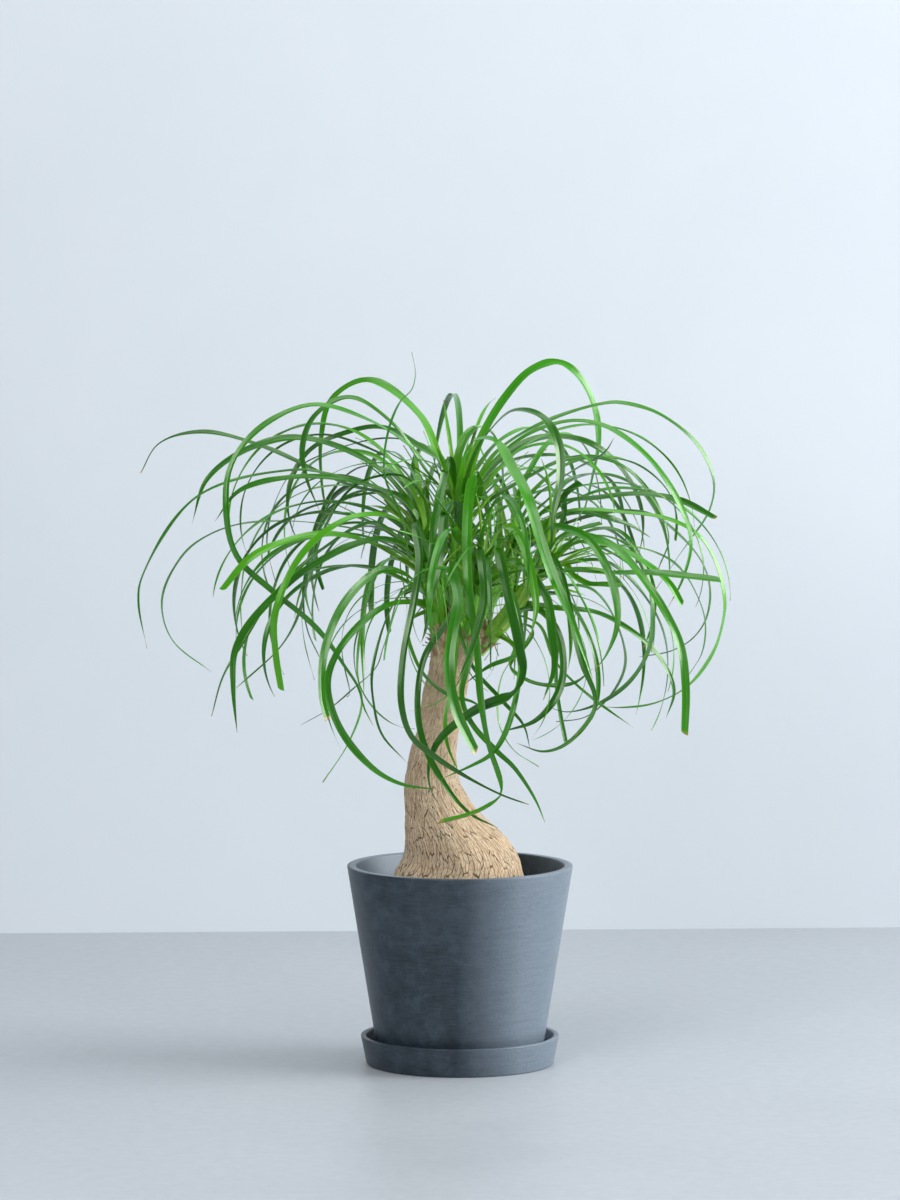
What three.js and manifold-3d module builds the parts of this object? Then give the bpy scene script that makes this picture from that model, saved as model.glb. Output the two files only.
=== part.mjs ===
// Potted ponytail palm: a swollen trunk with six leafy heads, in a tapered pot on a saucer.
// Millimetres, +Z up, +Y away from the viewer, origin at the centre of the saucer's underside.

import * as THREE from 'three';
import { mergeVertices } from 'three/addons/utils/BufferGeometryUtils.js';
import Module from 'manifold-3d';

const wasm = await Module();
wasm.setup();

// Saucer, pot and soil
const saucer = {
  rimRadius: 110,
  baseRadius: 103.5,
  height: 32,
  wall: 6,
  floor: 6,
  edge: 1.5,
  fillet: 3,
  sides: 48,
};
const pot = {
  rimRadius: 125,
  height: 215,
  taper: 0.161,
  wall: 10,
  floor: 10,
  drainRadius: 10,
  edge: 1.5,
  sides: 48,
};
const soil = { belowRim: 38, fit: 0.3, edge: 4, sides: 36 };
const edgeSteps = 2;

// Trunk: height, centre x, half width, read from the foot in the soil up to the knobby top
const trunkStations = [
  [148, 0, 44],
  [158, 0, 60],
  [172, 0, 69],
  [186, 0, 72.5],
  [200, 0, 73],
  [211, 0.5, 71.2],
  [228, 2.8, 65],
  [250, -4.6, 56.6],
  [271, -16.7, 45.4],
  [292, -26.5, 36.1],
  [313, -31.5, 30.6],
  [335, -30.8, 27.1],
  [356, -27.8, 24.8],
  [377, -22.6, 22.6],
  [398, -18.8, 23.3],
  [420, -15, 23.9],
  [441, -9.9, 23.7],
  [460, -3.3, 28.6],
  [474, 0, 32.5],
  [484, 1, 30],
  [490, 2, 18],
];
const bark = { sides: 36, rings: 27, roundBelow: 196, easeIn: 30, crown: 3 };
const lumps = { depth: 0.03, wide: 3, wideRise: 40, narrow: 5, narrowRise: 26, narrowShare: 0.6 };
const grooves = { count: 9, depth: 2.2, atRadius: 60, sway: 1.1, swayRise: 34, sharp: 4 };

// Stubs: the short leafy stems on the trunk's top, and where leaves leave them
const stub = { radii: [9, 10.5, 10, 6, 3], sides: 7, girth: 8, lastRoot: 0.96, rootOut: 0.5, stops: 16 };

// Leaves: a channelled blade with a broad clasping root and a long taper
const channel = { rise: 0.14, keel: 1.1 };
const outline = { flare: 0.15, flareFade: 14, pointed: 0.36, fullness: 0.7, cutAt: 0.8 };
const facets = { run: 150, bend: 38, fewest: 5 };
const samples = 72;
const curveSteps = 24;
const facingPlace = 24;
const viewpoint = new THREE.Vector3(-11, -6630, 1099.5);

// How far leaves keep from one another, and how a leaf in the way is bent
const clearance = { crossing: 0.42, alongside: 0.6, gap: 2, reach: 18, solidReach: 9, root: 32 };
const bending = { soft: 34, passes: 12, parallel: 0.4, extra: 0.5, leftOver: 1 };
const trunkStops = { apart: 12, length: 6 };

// Grown leaves fill the crown where the front view hides it: they leave the stub steeply, arch
// over and hang, spread by the golden angle within the head's own sector of the compass
const growth = {
  length: [270, 410],
  width: [6, 10],
  pitch: [20, 78],
  pitchSpread: 10,
  headingSpread: 8,
  droop: [75, 130],
  droopEase: 1.25,
  drift: 30,
  lowest: 0.3,
  rootTurn: 20,
  tipTurn: 60,
  cutShare: 0.12,
  tries: 14,
};
const goldenShare = 0.618034;
const randomStep = 16807;
const randomCycle = 2147483647;

// Colours and roughness
const finishes = {
  saucer: [0x3f4b57, 0.75],
  pot: [0x434f5b, 0.72],
  bark: [0xa58c6d, 0.95],
  soil: [0x3a2c22, 1],
  leaves: [0x4f8a35, 0.55],
};

// A leaf read from the front: where it leaves the stub (0 foot, 1 top), its width, how far it
// turns its face to the front at its root and tip in degrees, and its course, each point as
// seen in the plane of the trunk (x, z) and lying at the depth y
function leaf(up, width, turn, course, cut = false) {
  return { up, width, turn, course, cut };
}

const heads = [
  {
    name: 'head_left',
    line: [[-20, -8, 466], [-30, -12, 520], [-38, -12, 592]],
    leaves: [
      leaf(0.90, 8, [10, 40], [[-66, 4, 625], [-123, 16, 642], [-219, 32, 685], [-285, 40, 700],
        [-331, 46, 687], [-351, 48, 655]]),
      leaf(0.85, 7, [0, 30], [[-88, -24, 636], [-145, -34, 654], [-188, -40, 658], [-290, -54, 628],
        [-350, -62, 540], [-354, -64, 512], [-345, -64, 461]]),
      leaf(0.70, 7, [0, 20], [[-88, 20, 585], [-152, 40, 599], [-198, 52, 602], [-257, 66, 595],
        [-302, 78, 568], [-328, 84, 516], [-318, 88, 472], [-274, 92, 435]]),
      leaf(1.00, 11, [20, 60], [[-88, 6, 658], [-172, 12, 693], [-231, 16, 682], [-278, 20, 648],
        [-295, 22, 599]]),
      leaf(0.95, 9, [10, 60], [[-62, -30, 622], [-117, -52, 645], [-183, -74, 650], [-243, -92, 635],
        [-270, -100, 601]]),
      leaf(0.60, 9, [30, 60], [[-97, -50, 577], [-147, -78, 588], [-195, -98, 579], [-231, -110, 561],
        [-262, -118, 526]], true),
      leaf(0.50, 10, [20, 60], [[-70, -36, 572], [-112, -64, 577], [-168, -96, 549], [-201, -112, 522],
        [-229, -122, 492], [-241, -126, 474], [-249, -130, 454], [-250, -134, 415],
        [-246, -136, 368]]),
      leaf(0.60, 6, [20, 40], [[-90, -22, 600], [-150, -50, 572], [-205, -72, 520], [-243, -84, 462],
        [-262, -88, 428], [-274, -90, 386]]),
      leaf(0.80, 6, [0, 30], [[-90, 30, 632], [-150, 60, 640], [-200, 80, 618], [-232, 90, 570],
        [-241, 96, 520], [-240, 98, 474]]),
      leaf(0.90, 10, [20, 50], [[-62, -20, 650], [-100, -26, 648], [-128, -32, 628], [-148, -36, 595],
        [-160, -38, 560], [-170, -40, 525], [-181, -42, 490], [-200, -44, 460], [-247, -50, 417]]),
      leaf(0.80, 9, [20, 50], [[-70, 24, 632], [-118, 42, 632], [-148, 52, 610], [-163, 58, 570],
        [-172, 62, 520], [-168, 64, 482], [-155, 66, 452]]),
      leaf(0.75, 9, [20, 50], [[-72, -52, 604], [-118, -84, 606], [-160, -104, 580], [-190, -116, 541],
        [-205, -122, 500], [-203, -124, 455], [-197, -126, 415]], true),
      leaf(0.40, 10, [40, 70], [[-62, -62, 544], [-92, -104, 546], [-130, -142, 508],
        [-150, -156, 457], [-152, -164, 406], [-146, -166, 382]], true),
      leaf(0.30, 9, [20, 50], [[-56, -52, 512], [-84, -88, 507], [-112, -112, 486], [-136, -128, 455],
        [-146, -134, 425], [-141, -136, 393], [-124, -136, 359], [-92, -132, 325], [-62, -128, 310],
        [-26, -124, 305]]),
      leaf(0.75, 11, [30, 60], [[-50, -84, 600], [-44, -118, 562], [-50, -138, 514], [-62, -150, 452],
        [-64, -156, 399], [-53, -158, 364], [-28, -158, 342], [4, -156, 321], [46, -152, 299],
        [76, -150, 288]]),
      leaf(0.65, 6, [20, 40], [[-76, 40, 560], [-100, 84, 520], [-113, 96, 440], [-108, 100, 398],
        [-122, 102, 358], [-151, 104, 313]], true),
      leaf(0.45, 4, [20, 60], [[-60, 20, 530], [-84, 34, 464], [-92, 38, 441], [-118, 44, 416],
        [-143, 50, 395], [-176, 56, 376]]),
      leaf(0.55, 4, [20, 40], [[-66, -28, 520], [-96, -50, 440], [-95, -56, 400], [-86, -60, 366],
        [-58, -64, 334]]),
      leaf(0.35, 7, [20, 40], [[-56, -30, 490], [-48, -44, 448], [-30, -58, 422], [-8, -66, 408],
        [12, -70, 403], [26, -72, 395]]),
      leaf(0.95, 8, [60, 80], [[-60, -36, 560], [-78, -52, 622], [-84, -58, 658], [-78, -62, 705],
        [-66, -64, 733], [-53, -64, 747], [-49, -64, 765], [-53, -64, 788]]),
    ],
    grown: { count: 9, seed: 11, sector: [60, 190] },
  },
  {
    name: 'head_centre',
    line: [[0, 2, 474], [-2, 4, 545], [2, 8, 640]],
    leaves: [
      leaf(1.00, 9, [20, 60], [[-33, -18, 662], [-57, -32, 686], [-100, -52, 713], [-160, -74, 730],
        [-207, -86, 713], [-241, -94, 682], [-257, -96, 646], [-257, -98, 599], [-243, -98, 560],
        [-207, -96, 526], [-166, -94, 492], [-146, -93, 470], [-128, -92, 443], [-112, -92, 418],
        [-106, -92, 396], [-96, -92, 376]]),
      leaf(0.95, 11, [10, 60], [[-21, 22, 668], [-44, 42, 718], [-100, 66, 757], [-140, 78, 736],
        [-152, 84, 693], [-152, 88, 646], [-147, 90, 611]]),
      leaf(0.90, 10, [10, 50], [[-33, -2, 652], [-76, -10, 711], [-123, -18, 738], [-160, -24, 717],
        [-173, -28, 682], [-168, -30, 648], [-154, -32, 612]]),
      leaf(0.95, 11, [30, 60], [[23, 28, 693], [52, 52, 741], [78, 64, 768], [107, 76, 777],
        [127, 82, 765], [146, 92, 732], [152, 98, 690], [146, 104, 654], [136, 106, 610]]),
      leaf(0.90, 12, [20, 60], [[14, -34, 668], [31, -62, 700], [60, -86, 724], [90, -104, 717],
        [107, -116, 690], [110, -128, 650], [103, -134, 612], [100, -138, 566]]),
      leaf(0.85, 13, [30, 60], [[10, -46, 672], [20, -66, 692], [40, -92, 691], [58, -112, 660],
        [73, -132, 632], [89, -150, 580], [102, -162, 542], [122, -174, 496], [138, -178, 452],
        [146, -180, 428]]),
      leaf(0.80, 13, [0, 30], [[12, -34, 660], [13, -48, 664], [9, -76, 612], [8, -100, 562],
        [11, -114, 515], [19, -124, 466], [23, -132, 409], [32, -136, 357], [46, -138, 313],
        [45, -140, 298], [34, -143, 288], [14, -146, 278], [-24, -150, 268]], true),
      leaf(0.80, 10, [0, 30], [[-8, -32, 668], [-13, -50, 672], [-20, -72, 638], [-28, -88, 602],
        [-32, -98, 566], [-40, -104, 530]]),
      leaf(0.70, 12, [0, 30], [[-2, -56, 618], [-8, -80, 624], [-17, -100, 607], [-20, -122, 575],
        [-31, -134, 536], [-44, -142, 506], [-50, -146, 470]]),
      leaf(0.90, 8, [20, 40], [[26, 18, 666], [56, 30, 691], [105, 42, 716], [157, 54, 731],
        [176, 58, 732], [220, 66, 719], [262, 74, 684], [279, 78, 644], [274, 82, 614], [252, 86, 580],
        [216, 90, 527]]),
      leaf(0.85, 9, [20, 50], [[34, -4, 664], [68, -8, 693], [105, -12, 709], [135, -16, 712],
        [167, -20, 703], [209, -26, 670], [241, -32, 622], [254, -36, 580], [245, -38, 538],
        [229, -40, 506]]),
      leaf(0.80, 11, [20, 60], [[36, 34, 662], [78, 58, 691], [114, 74, 695], [146, 88, 686],
        [178, 102, 658], [197, 110, 622], [201, 116, 591], [195, 120, 556]]),
      leaf(0.75, 7, [20, 60], [[40, 18, 630], [76, 30, 651], [110, 44, 668], [150, 56, 672],
        [185, 66, 658], [215, 76, 622], [232, 84, 580], [226, 88, 545]]),
      leaf(0.85, 5, [20, 60], [[36, -26, 656], [76, -40, 684], [118, -52, 684], [150, -62, 660],
        [168, -70, 625], [170, -74, 600]]),
      leaf(0.95, 11, [10, 40], [[4, 18, 676], [12, 32, 698], [24, 44, 706], [38, 56, 697],
        [46, 64, 665], [46, 70, 614]]),
      leaf(0.90, 4, [0, 20], [[-30, 24, 680], [-62, 40, 692], [-95, 52, 692], [-150, 70, 676],
        [-185, 80, 655], [-205, 86, 620], [-213, 90, 580], [-202, 94, 530]]),
    ],
    grown: { count: 11, seed: 23, sector: [20, 170] },
  },
  {
    name: 'head_right',
    line: [[16, -6, 456], [50, -12, 496], [96, -18, 556]],
    leaves: [
      leaf(0.90, 9, [10, 50], [[128, -56, 548], [167, -66, 545], [209, -76, 545], [252, -84, 541],
        [287, -90, 537]], true),
      leaf(0.95, 10, [20, 60], [[118, -70, 586], [147, -94, 584], [174, -112, 570], [205, -128, 534],
        [228, -138, 498], [243, -144, 465], [249, -150, 417], [248, -154, 366]], true),
      leaf(0.85, 10, [30, 60], [[96, -70, 592], [116, -104, 594], [139, -126, 584], [159, -148, 556],
        [172, -162, 518], [173, -172, 485], [161, -178, 454], [147, -180, 436]]),
      leaf(0.80, 9, [30, 60], [[96, -78, 566], [110, -112, 548], [125, -136, 488], [136, -146, 443],
        [149, -152, 409], [147, -154, 387], [127, -156, 364]]),
      leaf(1.00, 8, [20, 50], [[140, -20, 590], [176, -24, 590], [203, -26, 550], [212, -28, 500],
        [207, -28, 458], [186, -30, 424], [152, -32, 400], [118, -34, 391], [98, -36, 396]]),
      leaf(0.60, 7, [20, 50], [[104, -24, 506], [150, -4, 501], [190, 8, 480], [215, 16, 458],
        [230, 20, 435], [236, 22, 412], [227, 24, 383]]),
      leaf(0.95, 9, [20, 50], [[130, -40, 578], [166, -48, 575], [198, -54, 560], [228, -58, 536],
        [245, -60, 509]], true),
      leaf(0.80, 9, [30, 50], [[110, -38, 574], [132, -42, 584], [157, -46, 597]], true),
      leaf(0.45, 9, [20, 50], [[84, -66, 505], [106, -88, 483], [114, -100, 441], [107, -108, 409],
        [83, -112, 381], [47, -114, 369]]),
      leaf(0.40, 6, [20, 50], [[80, -44, 482], [62, -62, 454], [32, -74, 441], [4, -80, 421]]),
      leaf(0.75, 8, [20, 60], [[104, -30, 560], [120, -46, 542], [138, -56, 533], [160, -64, 532],
        [178, -70, 531]], true),
      leaf(0.50, 4, [20, 40], [[88, -40, 486], [104, -60, 448], [125, -72, 424], [150, -82, 403],
        [192, -92, 373]]),
      leaf(0.70, 6, [20, 50], [[110, -36, 520], [140, -62, 480], [152, -74, 430], [146, -80, 390],
        [118, -84, 356], [92, -86, 347], [63, -88, 356]]),
      leaf(0.55, 6, [20, 40], [[94, -20, 500], [104, -6, 460], [106, 0, 420], [111, 2, 385],
        [117, 4, 356]], true),
      leaf(0.25, 6, [20, 40], [[60, -40, 462], [56, -60, 440], [76, -72, 425], [100, -80, 420],
        [126, -86, 423], [148, -90, 440]]),
      leaf(0.30, 4, [20, 40], [[62, -24, 462], [46, -36, 430], [41, -42, 400], [45, -46, 372],
        [60, -50, 348], [87, -54, 330]]),
      leaf(0.65, 8, [20, 50], [[110, 0, 530], [146, 20, 526], [172, 32, 490], [182, 38, 446],
        [168, 42, 412], [140, 44, 386], [106, 46, 380]]),
    ],
    grown: { count: 6, seed: 37, sector: [30, 84] },
  },
  {
    name: 'head_right_back',
    line: [[14, 14, 474], [34, 26, 520], [64, 40, 580]],
    leaves: [
      leaf(0.80, 9, [20, 50], [[100, 24, 618], [153, 14, 628], [199, 8, 632], [241, 2, 625],
        [281, -4, 605]], true),
      leaf(0.85, 9, [20, 40], [[110, 50, 610], [183, 56, 611], [231, 60, 603], [262, 62, 586],
        [279, 64, 561], [291, 66, 515], [288, 66, 485], [277, 66, 454], [250, 66, 419], [215, 66, 401],
        [180, 66, 396], [150, 66, 397]]),
      leaf(0.75, 8, [20, 40], [[120, 82, 600], [201, 108, 613], [241, 118, 587], [268, 124, 553],
        [275, 126, 524], [270, 128, 492], [256, 130, 472], [234, 132, 459], [198, 134, 452]]),
      leaf(0.70, 6, [20, 40], [[100, 70, 560], [150, 84, 573], [200, 94, 572], [238, 100, 554],
        [261, 104, 520], [270, 106, 490], [266, 108, 455], [248, 110, 426]]),
      leaf(0.95, 10, [20, 40], [[84, 10, 628], [104, 0, 644], [130, -8, 661], [152, -14, 672],
        [163, -18, 682], [171, -22, 696]]),
      leaf(0.90, 9, [20, 50], [[84, 28, 602], [110, 20, 625], [132, 14, 642]], true),
      leaf(0.85, 10, [20, 50], [[86, 56, 590], [110, 72, 605], [137, 86, 614], [163, 96, 610],
        [185, 104, 600], [208, 110, 585]]),
    ],
    grown: { count: 9, seed: 41, sector: [0, 110] },
  },
  {
    name: 'head_front',
    line: [[8, -18, 468], [14, -36, 510], [24, -60, 558]],
    leaves: [
      leaf(0.50, 8, [20, 40], [[8, -66, 530], [-15, -86, 489], [-39, -98, 452], [-47, -106, 399],
        [-40, -110, 356], [-16, -112, 309], [11, -114, 278], [42, -116, 262]]),
      leaf(0.70, 13, [10, 40], [[10, -86, 560], [4, -116, 545], [0, -140, 516], [-8, -156, 480],
        [-12, -164, 450], [-10, -168, 418], [-2, -172, 386], [8, -174, 365], [18, -176, 346]], true),
      leaf(0.85, 11, [10, 40], [[18, -98, 572], [24, -128, 556], [27, -150, 515], [19, -164, 480],
        [9, -170, 450], [-2, -172, 424]]),
      leaf(0.95, 12, [10, 40], [[34, -90, 574], [44, -112, 556], [54, -128, 515], [66, -136, 462],
        [70, -138, 434], [60, -140, 413], [25, -116, 397], [4, -110, 384], [-24, -106, 358],
        [-35, -104, 330], [-32, -102, 303], [-22, -100, 287]]),
      leaf(0.45, 5, [20, 40], [[-2, -64, 500], [13, -80, 443], [46, -86, 404], [70, -90, 376],
        [77, -92, 350]]),
      leaf(0.60, 7, [20, 40], [[26, -80, 530], [14, -92, 460], [2, -96, 410], [12, -98, 380],
        [40, -100, 348], [60, -102, 329], [83, -104, 294], [94, -106, 268]]),
      leaf(0.90, 12, [20, 50], [[46, -86, 590], [60, -112, 592], [72, -134, 570], [80, -148, 540],
        [84, -158, 505], [78, -164, 474]]),
      leaf(0.80, 11, [20, 50], [[40, -98, 560], [60, -130, 556], [84, -154, 520], [100, -166, 478],
        [104, -170, 440], [92, -174, 404]]),
      leaf(0.40, 5, [20, 40], [[0, -56, 480], [-8, -70, 420], [-16, -76, 384], [-14, -78, 355],
        [0, -80, 321]]),
      leaf(0.65, 7, [20, 40], [[52, -92, 530], [68, -116, 470], [60, -122, 400], [46, -122, 360],
        [33, -121, 343], [10, -120, 330], [-20, -119, 317]]),
    ],
    grown: { count: 5, seed: 53, sector: [235, 310] },
  },
  {
    name: 'head_back',
    line: [[-12, 18, 472], [-22, 38, 520], [-34, 62, 584]],
    leaves: [],
    grown: { count: 24, seed: 67, sector: [20, 200] },
  },
];

const group = new THREE.Group();

function addPiece(name, geometry, [color, roughness]) {
  const material = new THREE.MeshStandardMaterial({ color, roughness, metalness: 0 });
  const mesh = new THREE.Mesh(geometry, material);
  mesh.name = name;
  group.add(mesh);
}

function positionsOnly(geometry) {
  geometry.deleteAttribute('normal');
  geometry.deleteAttribute('uv');
  return mergeVertices(geometry, 1e-4);
}

function toSolid(geometry) {
  const merged = positionsOnly(geometry);
  return new wasm.Manifold(new wasm.Mesh({
    numProp: 3,
    vertProperties: new Float32Array(merged.attributes.position.array),
    triVerts: new Uint32Array(merged.index.array),
  }));
}

function toGeometry(solid) {
  const { vertProperties, triVerts } = solid.getMesh();
  const geometry = new THREE.BufferGeometry();
  geometry.setAttribute('position', new THREE.BufferAttribute(vertProperties, 3));
  geometry.setIndex(new THREE.BufferAttribute(triVerts, 1));
  return geometry;
}

// An outline whose marked corners are rounded: each point is [radius, height, rounding]
function softOutline(corners) {
  const points = [];
  corners.forEach(([x, y, rounding], index) => {
    const corner = new THREE.Vector2(x, y);
    if (!rounding) {
      points.push(corner);
      return;
    }
    const before = corners[(index + corners.length - 1) % corners.length];
    const after = corners[(index + 1) % corners.length];
    const start = new THREE.Vector2(before[0] - x, before[1] - y).setLength(rounding).add(corner);
    const end = new THREE.Vector2(after[0] - x, after[1] - y).setLength(rounding).add(corner);
    points.push(...new THREE.QuadraticBezierCurve(start, corner, end).getPoints(edgeSteps));
  });
  return points;
}

// Turned round the upright axis; the outline runs up the outside and back down the inside
function turned(points, sides) {
  return new THREE.LatheGeometry(points, sides).rotateX(Math.PI / 2);
}

// Saucer
addPiece('saucer', turned(softOutline([
  [0, 0],
  [saucer.baseRadius, 0, saucer.edge],
  [saucer.rimRadius, saucer.height, saucer.edge],
  [saucer.rimRadius - saucer.wall, saucer.height, saucer.edge],
  [saucer.baseRadius - saucer.wall, saucer.floor, saucer.fillet],
  [0, saucer.floor],
]), saucer.sides), finishes.saucer);

// Pot: it stands on the saucer's floor
const potBase = saucer.floor;
const potTop = potBase + pot.height;

function potOuter(z) {
  return pot.rimRadius - pot.taper * (potTop - z);
}

function potInner(z) {
  return potOuter(z) - pot.wall;
}

const potFloor = potBase + pot.floor;
const potOutline = softOutline([
  [pot.drainRadius, potBase],
  [potOuter(potBase), potBase, pot.edge],
  [pot.rimRadius, potTop, pot.edge],
  [potInner(potTop), potTop, pot.edge],
  [potInner(potFloor), potFloor],
  [pot.drainRadius, potFloor],
]);
addPiece('pot', turned([...potOutline, potOutline[0].clone()], pot.sides), finishes.pot);

// Trunk: its foot below the soil is round, and above it the bark is lumpy and grooved
function alongTrunk(z) {
  const last = trunkStations.length - 1;
  const above = Math.max(1, trunkStations.findIndex(([height]) => height >= z));
  const [z0, x0, r0] = trunkStations[above - 1];
  const [z1, x1, r1] = trunkStations[above];
  const [zBefore, xBefore, rBefore] = trunkStations[Math.max(0, above - 2)];
  const [zAfter, xAfter, rAfter] = trunkStations[Math.min(last, above + 1)];
  const t = (z - z0) / (z1 - z0);
  const ease = (from, to, before, after) => {
    const rise = (to - before) / (z1 - zBefore) * (z1 - z0);
    const run = (after - from) / (zAfter - z0) * (z1 - z0);
    return (2 * t ** 3 - 3 * t ** 2 + 1) * from + (t ** 3 - 2 * t ** 2 + t) * rise
      + (3 * t ** 2 - 2 * t ** 3) * to + (t ** 3 - t ** 2) * run;
  };
  return { x: ease(x0, x1, xBefore, xAfter), radius: ease(r0, r1, rBefore, rAfter) };
}

function barkRadius(angle, z) {
  const { radius } = alongTrunk(z);
  const rough = THREE.MathUtils.smoothstep(z, bark.roundBelow, bark.roundBelow + bark.easeIn);
  const wide = Math.sin(lumps.wide * angle + z / lumps.wideRise);
  const narrow = lumps.narrowShare * Math.sin(lumps.narrow * angle - z / lumps.narrowRise);
  const sway = grooves.sway * Math.sin(z / grooves.swayRise);
  const groove = Math.max(0, Math.cos(grooves.count * angle + sway)) ** grooves.sharp;
  const cut = grooves.depth * groove / grooves.atRadius;
  return radius * (1 + rough * (lumps.depth * (wide + narrow) - cut));
}

const trunkFoot = trunkStations[0][0];
const trunkTop = trunkStations[trunkStations.length - 1][0];
const ringHeights = Array.from({ length: bark.rings + 1 }, (_, ring) => (
  THREE.MathUtils.lerp(trunkFoot, trunkTop, ring / bark.rings)
));

function trunkGeometry() {
  const positions = [0, 0, trunkFoot];
  ringHeights.forEach((z) => {
    const { x } = alongTrunk(z);
    for (let side = 0; side < bark.sides; side += 1) {
      const angle = side / bark.sides * 2 * Math.PI;
      const radius = barkRadius(angle, z);
      positions.push(x + radius * Math.cos(angle), radius * Math.sin(angle), z);
    }
  });
  positions.push(alongTrunk(trunkTop).x, 0, trunkTop + bark.crown);
  const index = [];
  const crown = positions.length / 3 - 1;
  for (let side = 0; side < bark.sides; side += 1) {
    const next = (side + 1) % bark.sides;
    index.push(0, 1 + next, 1 + side);
    for (let ring = 0; ring < bark.rings; ring += 1) {
      const low = 1 + ring * bark.sides;
      const high = low + bark.sides;
      index.push(low + side, low + next, high + next, low + side, high + next, high + side);
    }
    const top = 1 + bark.rings * bark.sides;
    index.push(top + side, top + next, crown);
  }
  const geometry = new THREE.BufferGeometry();
  geometry.setAttribute('position', new THREE.Float32BufferAttribute(positions, 3));
  geometry.setIndex(index);
  return geometry;
}

// A tapering round stem along a curve, flat at both ends
function stem(curve, radii, sides) {
  const rings = radii.length - 1;
  const frames = curve.computeFrenetFrames(rings, false);
  const centre = curve.getPointAt(0);
  const positions = [centre.x, centre.y, centre.z];
  for (let ring = 0; ring <= rings; ring += 1) {
    const point = curve.getPointAt(ring / rings);
    for (let side = 0; side < sides; side += 1) {
      const angle = side / sides * 2 * Math.PI;
      const spoke = frames.normals[ring].clone().multiplyScalar(Math.cos(angle) * radii[ring]);
      spoke.addScaledVector(frames.binormals[ring], Math.sin(angle) * radii[ring]).add(point);
      positions.push(spoke.x, spoke.y, spoke.z);
    }
  }
  const end = curve.getPointAt(1);
  positions.push(end.x, end.y, end.z);
  const index = [];
  const tip = positions.length / 3 - 1;
  for (let side = 0; side < sides; side += 1) {
    const next = (side + 1) % sides;
    index.push(0, 1 + next, 1 + side);
    for (let ring = 0; ring < rings; ring += 1) {
      const low = 1 + ring * sides;
      const high = low + sides;
      index.push(low + side, low + next, high + next, low + side, high + next, high + side);
    }
    const top = 1 + rings * sides;
    index.push(top + side, top + next, tip);
  }
  const geometry = new THREE.BufferGeometry();
  geometry.setAttribute('position', new THREE.Float32BufferAttribute(positions, 3));
  geometry.setIndex(index);
  return geometry;
}

// The stub's middle line; a longer one starts further down inside the trunk
function stubCurve(head, longer = 0) {
  const points = head.line.map((point) => new THREE.Vector3(...point));
  const down = points[0].clone().sub(points[1]).setLength(longer);
  points[0].add(down);
  return new THREE.CatmullRomCurve3(points, false, 'centripetal');
}

function stubRadiusAt(up) {
  const place = up * (stub.radii.length - 1);
  const below = Math.floor(place);
  return THREE.MathUtils.lerp(stub.radii[below], stub.radii[below + 1], place - below);
}

// The stubs stand in close sockets in the trunk's top
let trunk = toSolid(trunkGeometry());
heads.forEach((head) => {
  const radii = stub.radii.map((radius) => radius + soil.fit);
  trunk = trunk.subtract(toSolid(stem(stubCurve(head, soil.fit), radii, stub.sides)));
});
addPiece('trunk', toGeometry(trunk), finishes.bark);

// Soil: it fills the pot to below the rim, with a plain round hollow for the trunk's foot
const soilTop = potTop - soil.belowRim;
const hollow = ringHeights
  .filter((z) => z < soilTop)
  .map((z) => [alongTrunk(z).radius + soil.fit, z]);
const soilOutline = [
  [0, potFloor],
  [potInner(potFloor) - soil.fit, potFloor],
  [potInner(soilTop - soil.edge) - soil.fit, soilTop - soil.edge],
  [potInner(soilTop) - soil.edge, soilTop],
  [alongTrunk(soilTop).radius + soil.fit, soilTop],
  ...hollow.reverse(),
  [0, trunkFoot],
];
const soilPoints = soilOutline.map(([x, y]) => new THREE.Vector2(x, y));
addPiece('potting_soil', turned(soilPoints, soil.sides), finishes.soil);

// The point that is seen at (x, z) in the plane of the trunk, moved along the line of sight
function seen([x, y, z]) {
  const spread = (y - viewpoint.y) / -viewpoint.y;
  return new THREE.Vector3(
    viewpoint.x + (x - viewpoint.x) * spread,
    y,
    viewpoint.z + (z - viewpoint.z) * spread,
  );
}

// Evenly spaced points along a smooth curve through the given ones
function evenly(points) {
  const curve = new THREE.CatmullRomCurve3(points, false, 'centripetal');
  const dense = curve.getPoints(points.length * curveSteps);
  const lengths = [0];
  dense.forEach((point, index) => {
    if (index > 0) {
      lengths.push(lengths[index - 1] + point.distanceTo(dense[index - 1]));
    }
  });
  const route = [];
  let segment = 1;
  for (let index = 0; index <= samples; index += 1) {
    const along = lengths[lengths.length - 1] * index / samples;
    while (segment < dense.length - 1 && lengths[segment] < along) {
      segment += 1;
    }
    const t = (along - lengths[segment - 1]) / (lengths[segment] - lengths[segment - 1]);
    route.push(dense[segment - 1].clone().lerp(dense[segment], t));
  }
  return route;
}

// The blade's own directions along its route: tangent, face normal and side
function bladeFrames(route, turn) {
  const out = route[Math.floor(samples / 2)].clone().sub(route[0]).setZ(0).normalize();
  const frames = [];
  let normal = new THREE.Vector3(-out.x, -out.y, 1);
  route.forEach((point, index) => {
    const before = route[Math.max(0, index - 1)];
    const after = route[Math.min(samples, index + 1)];
    const tangent = after.clone().sub(before).normalize();
    normal = normal.clone().addScaledVector(tangent, -normal.dot(tangent)).normalize();
    frames.push({ tangent, normal });
  });
  const shown = frames[facingPlace];
  const facing = Math.sign(-shown.tangent.clone().cross(shown.normal).y) || 1;
  frames.forEach((frame, index) => {
    const angle = THREE.MathUtils.degToRad(THREE.MathUtils.lerp(turn[0], turn[1], index / samples));
    const side = frame.tangent.clone().cross(frame.normal);
    frame.face = frame.normal.clone().multiplyScalar(Math.cos(angle))
      .addScaledVector(side, facing * Math.sin(angle));
    frame.side = frame.tangent.clone().cross(frame.face);
  });
  return frames;
}

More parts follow.
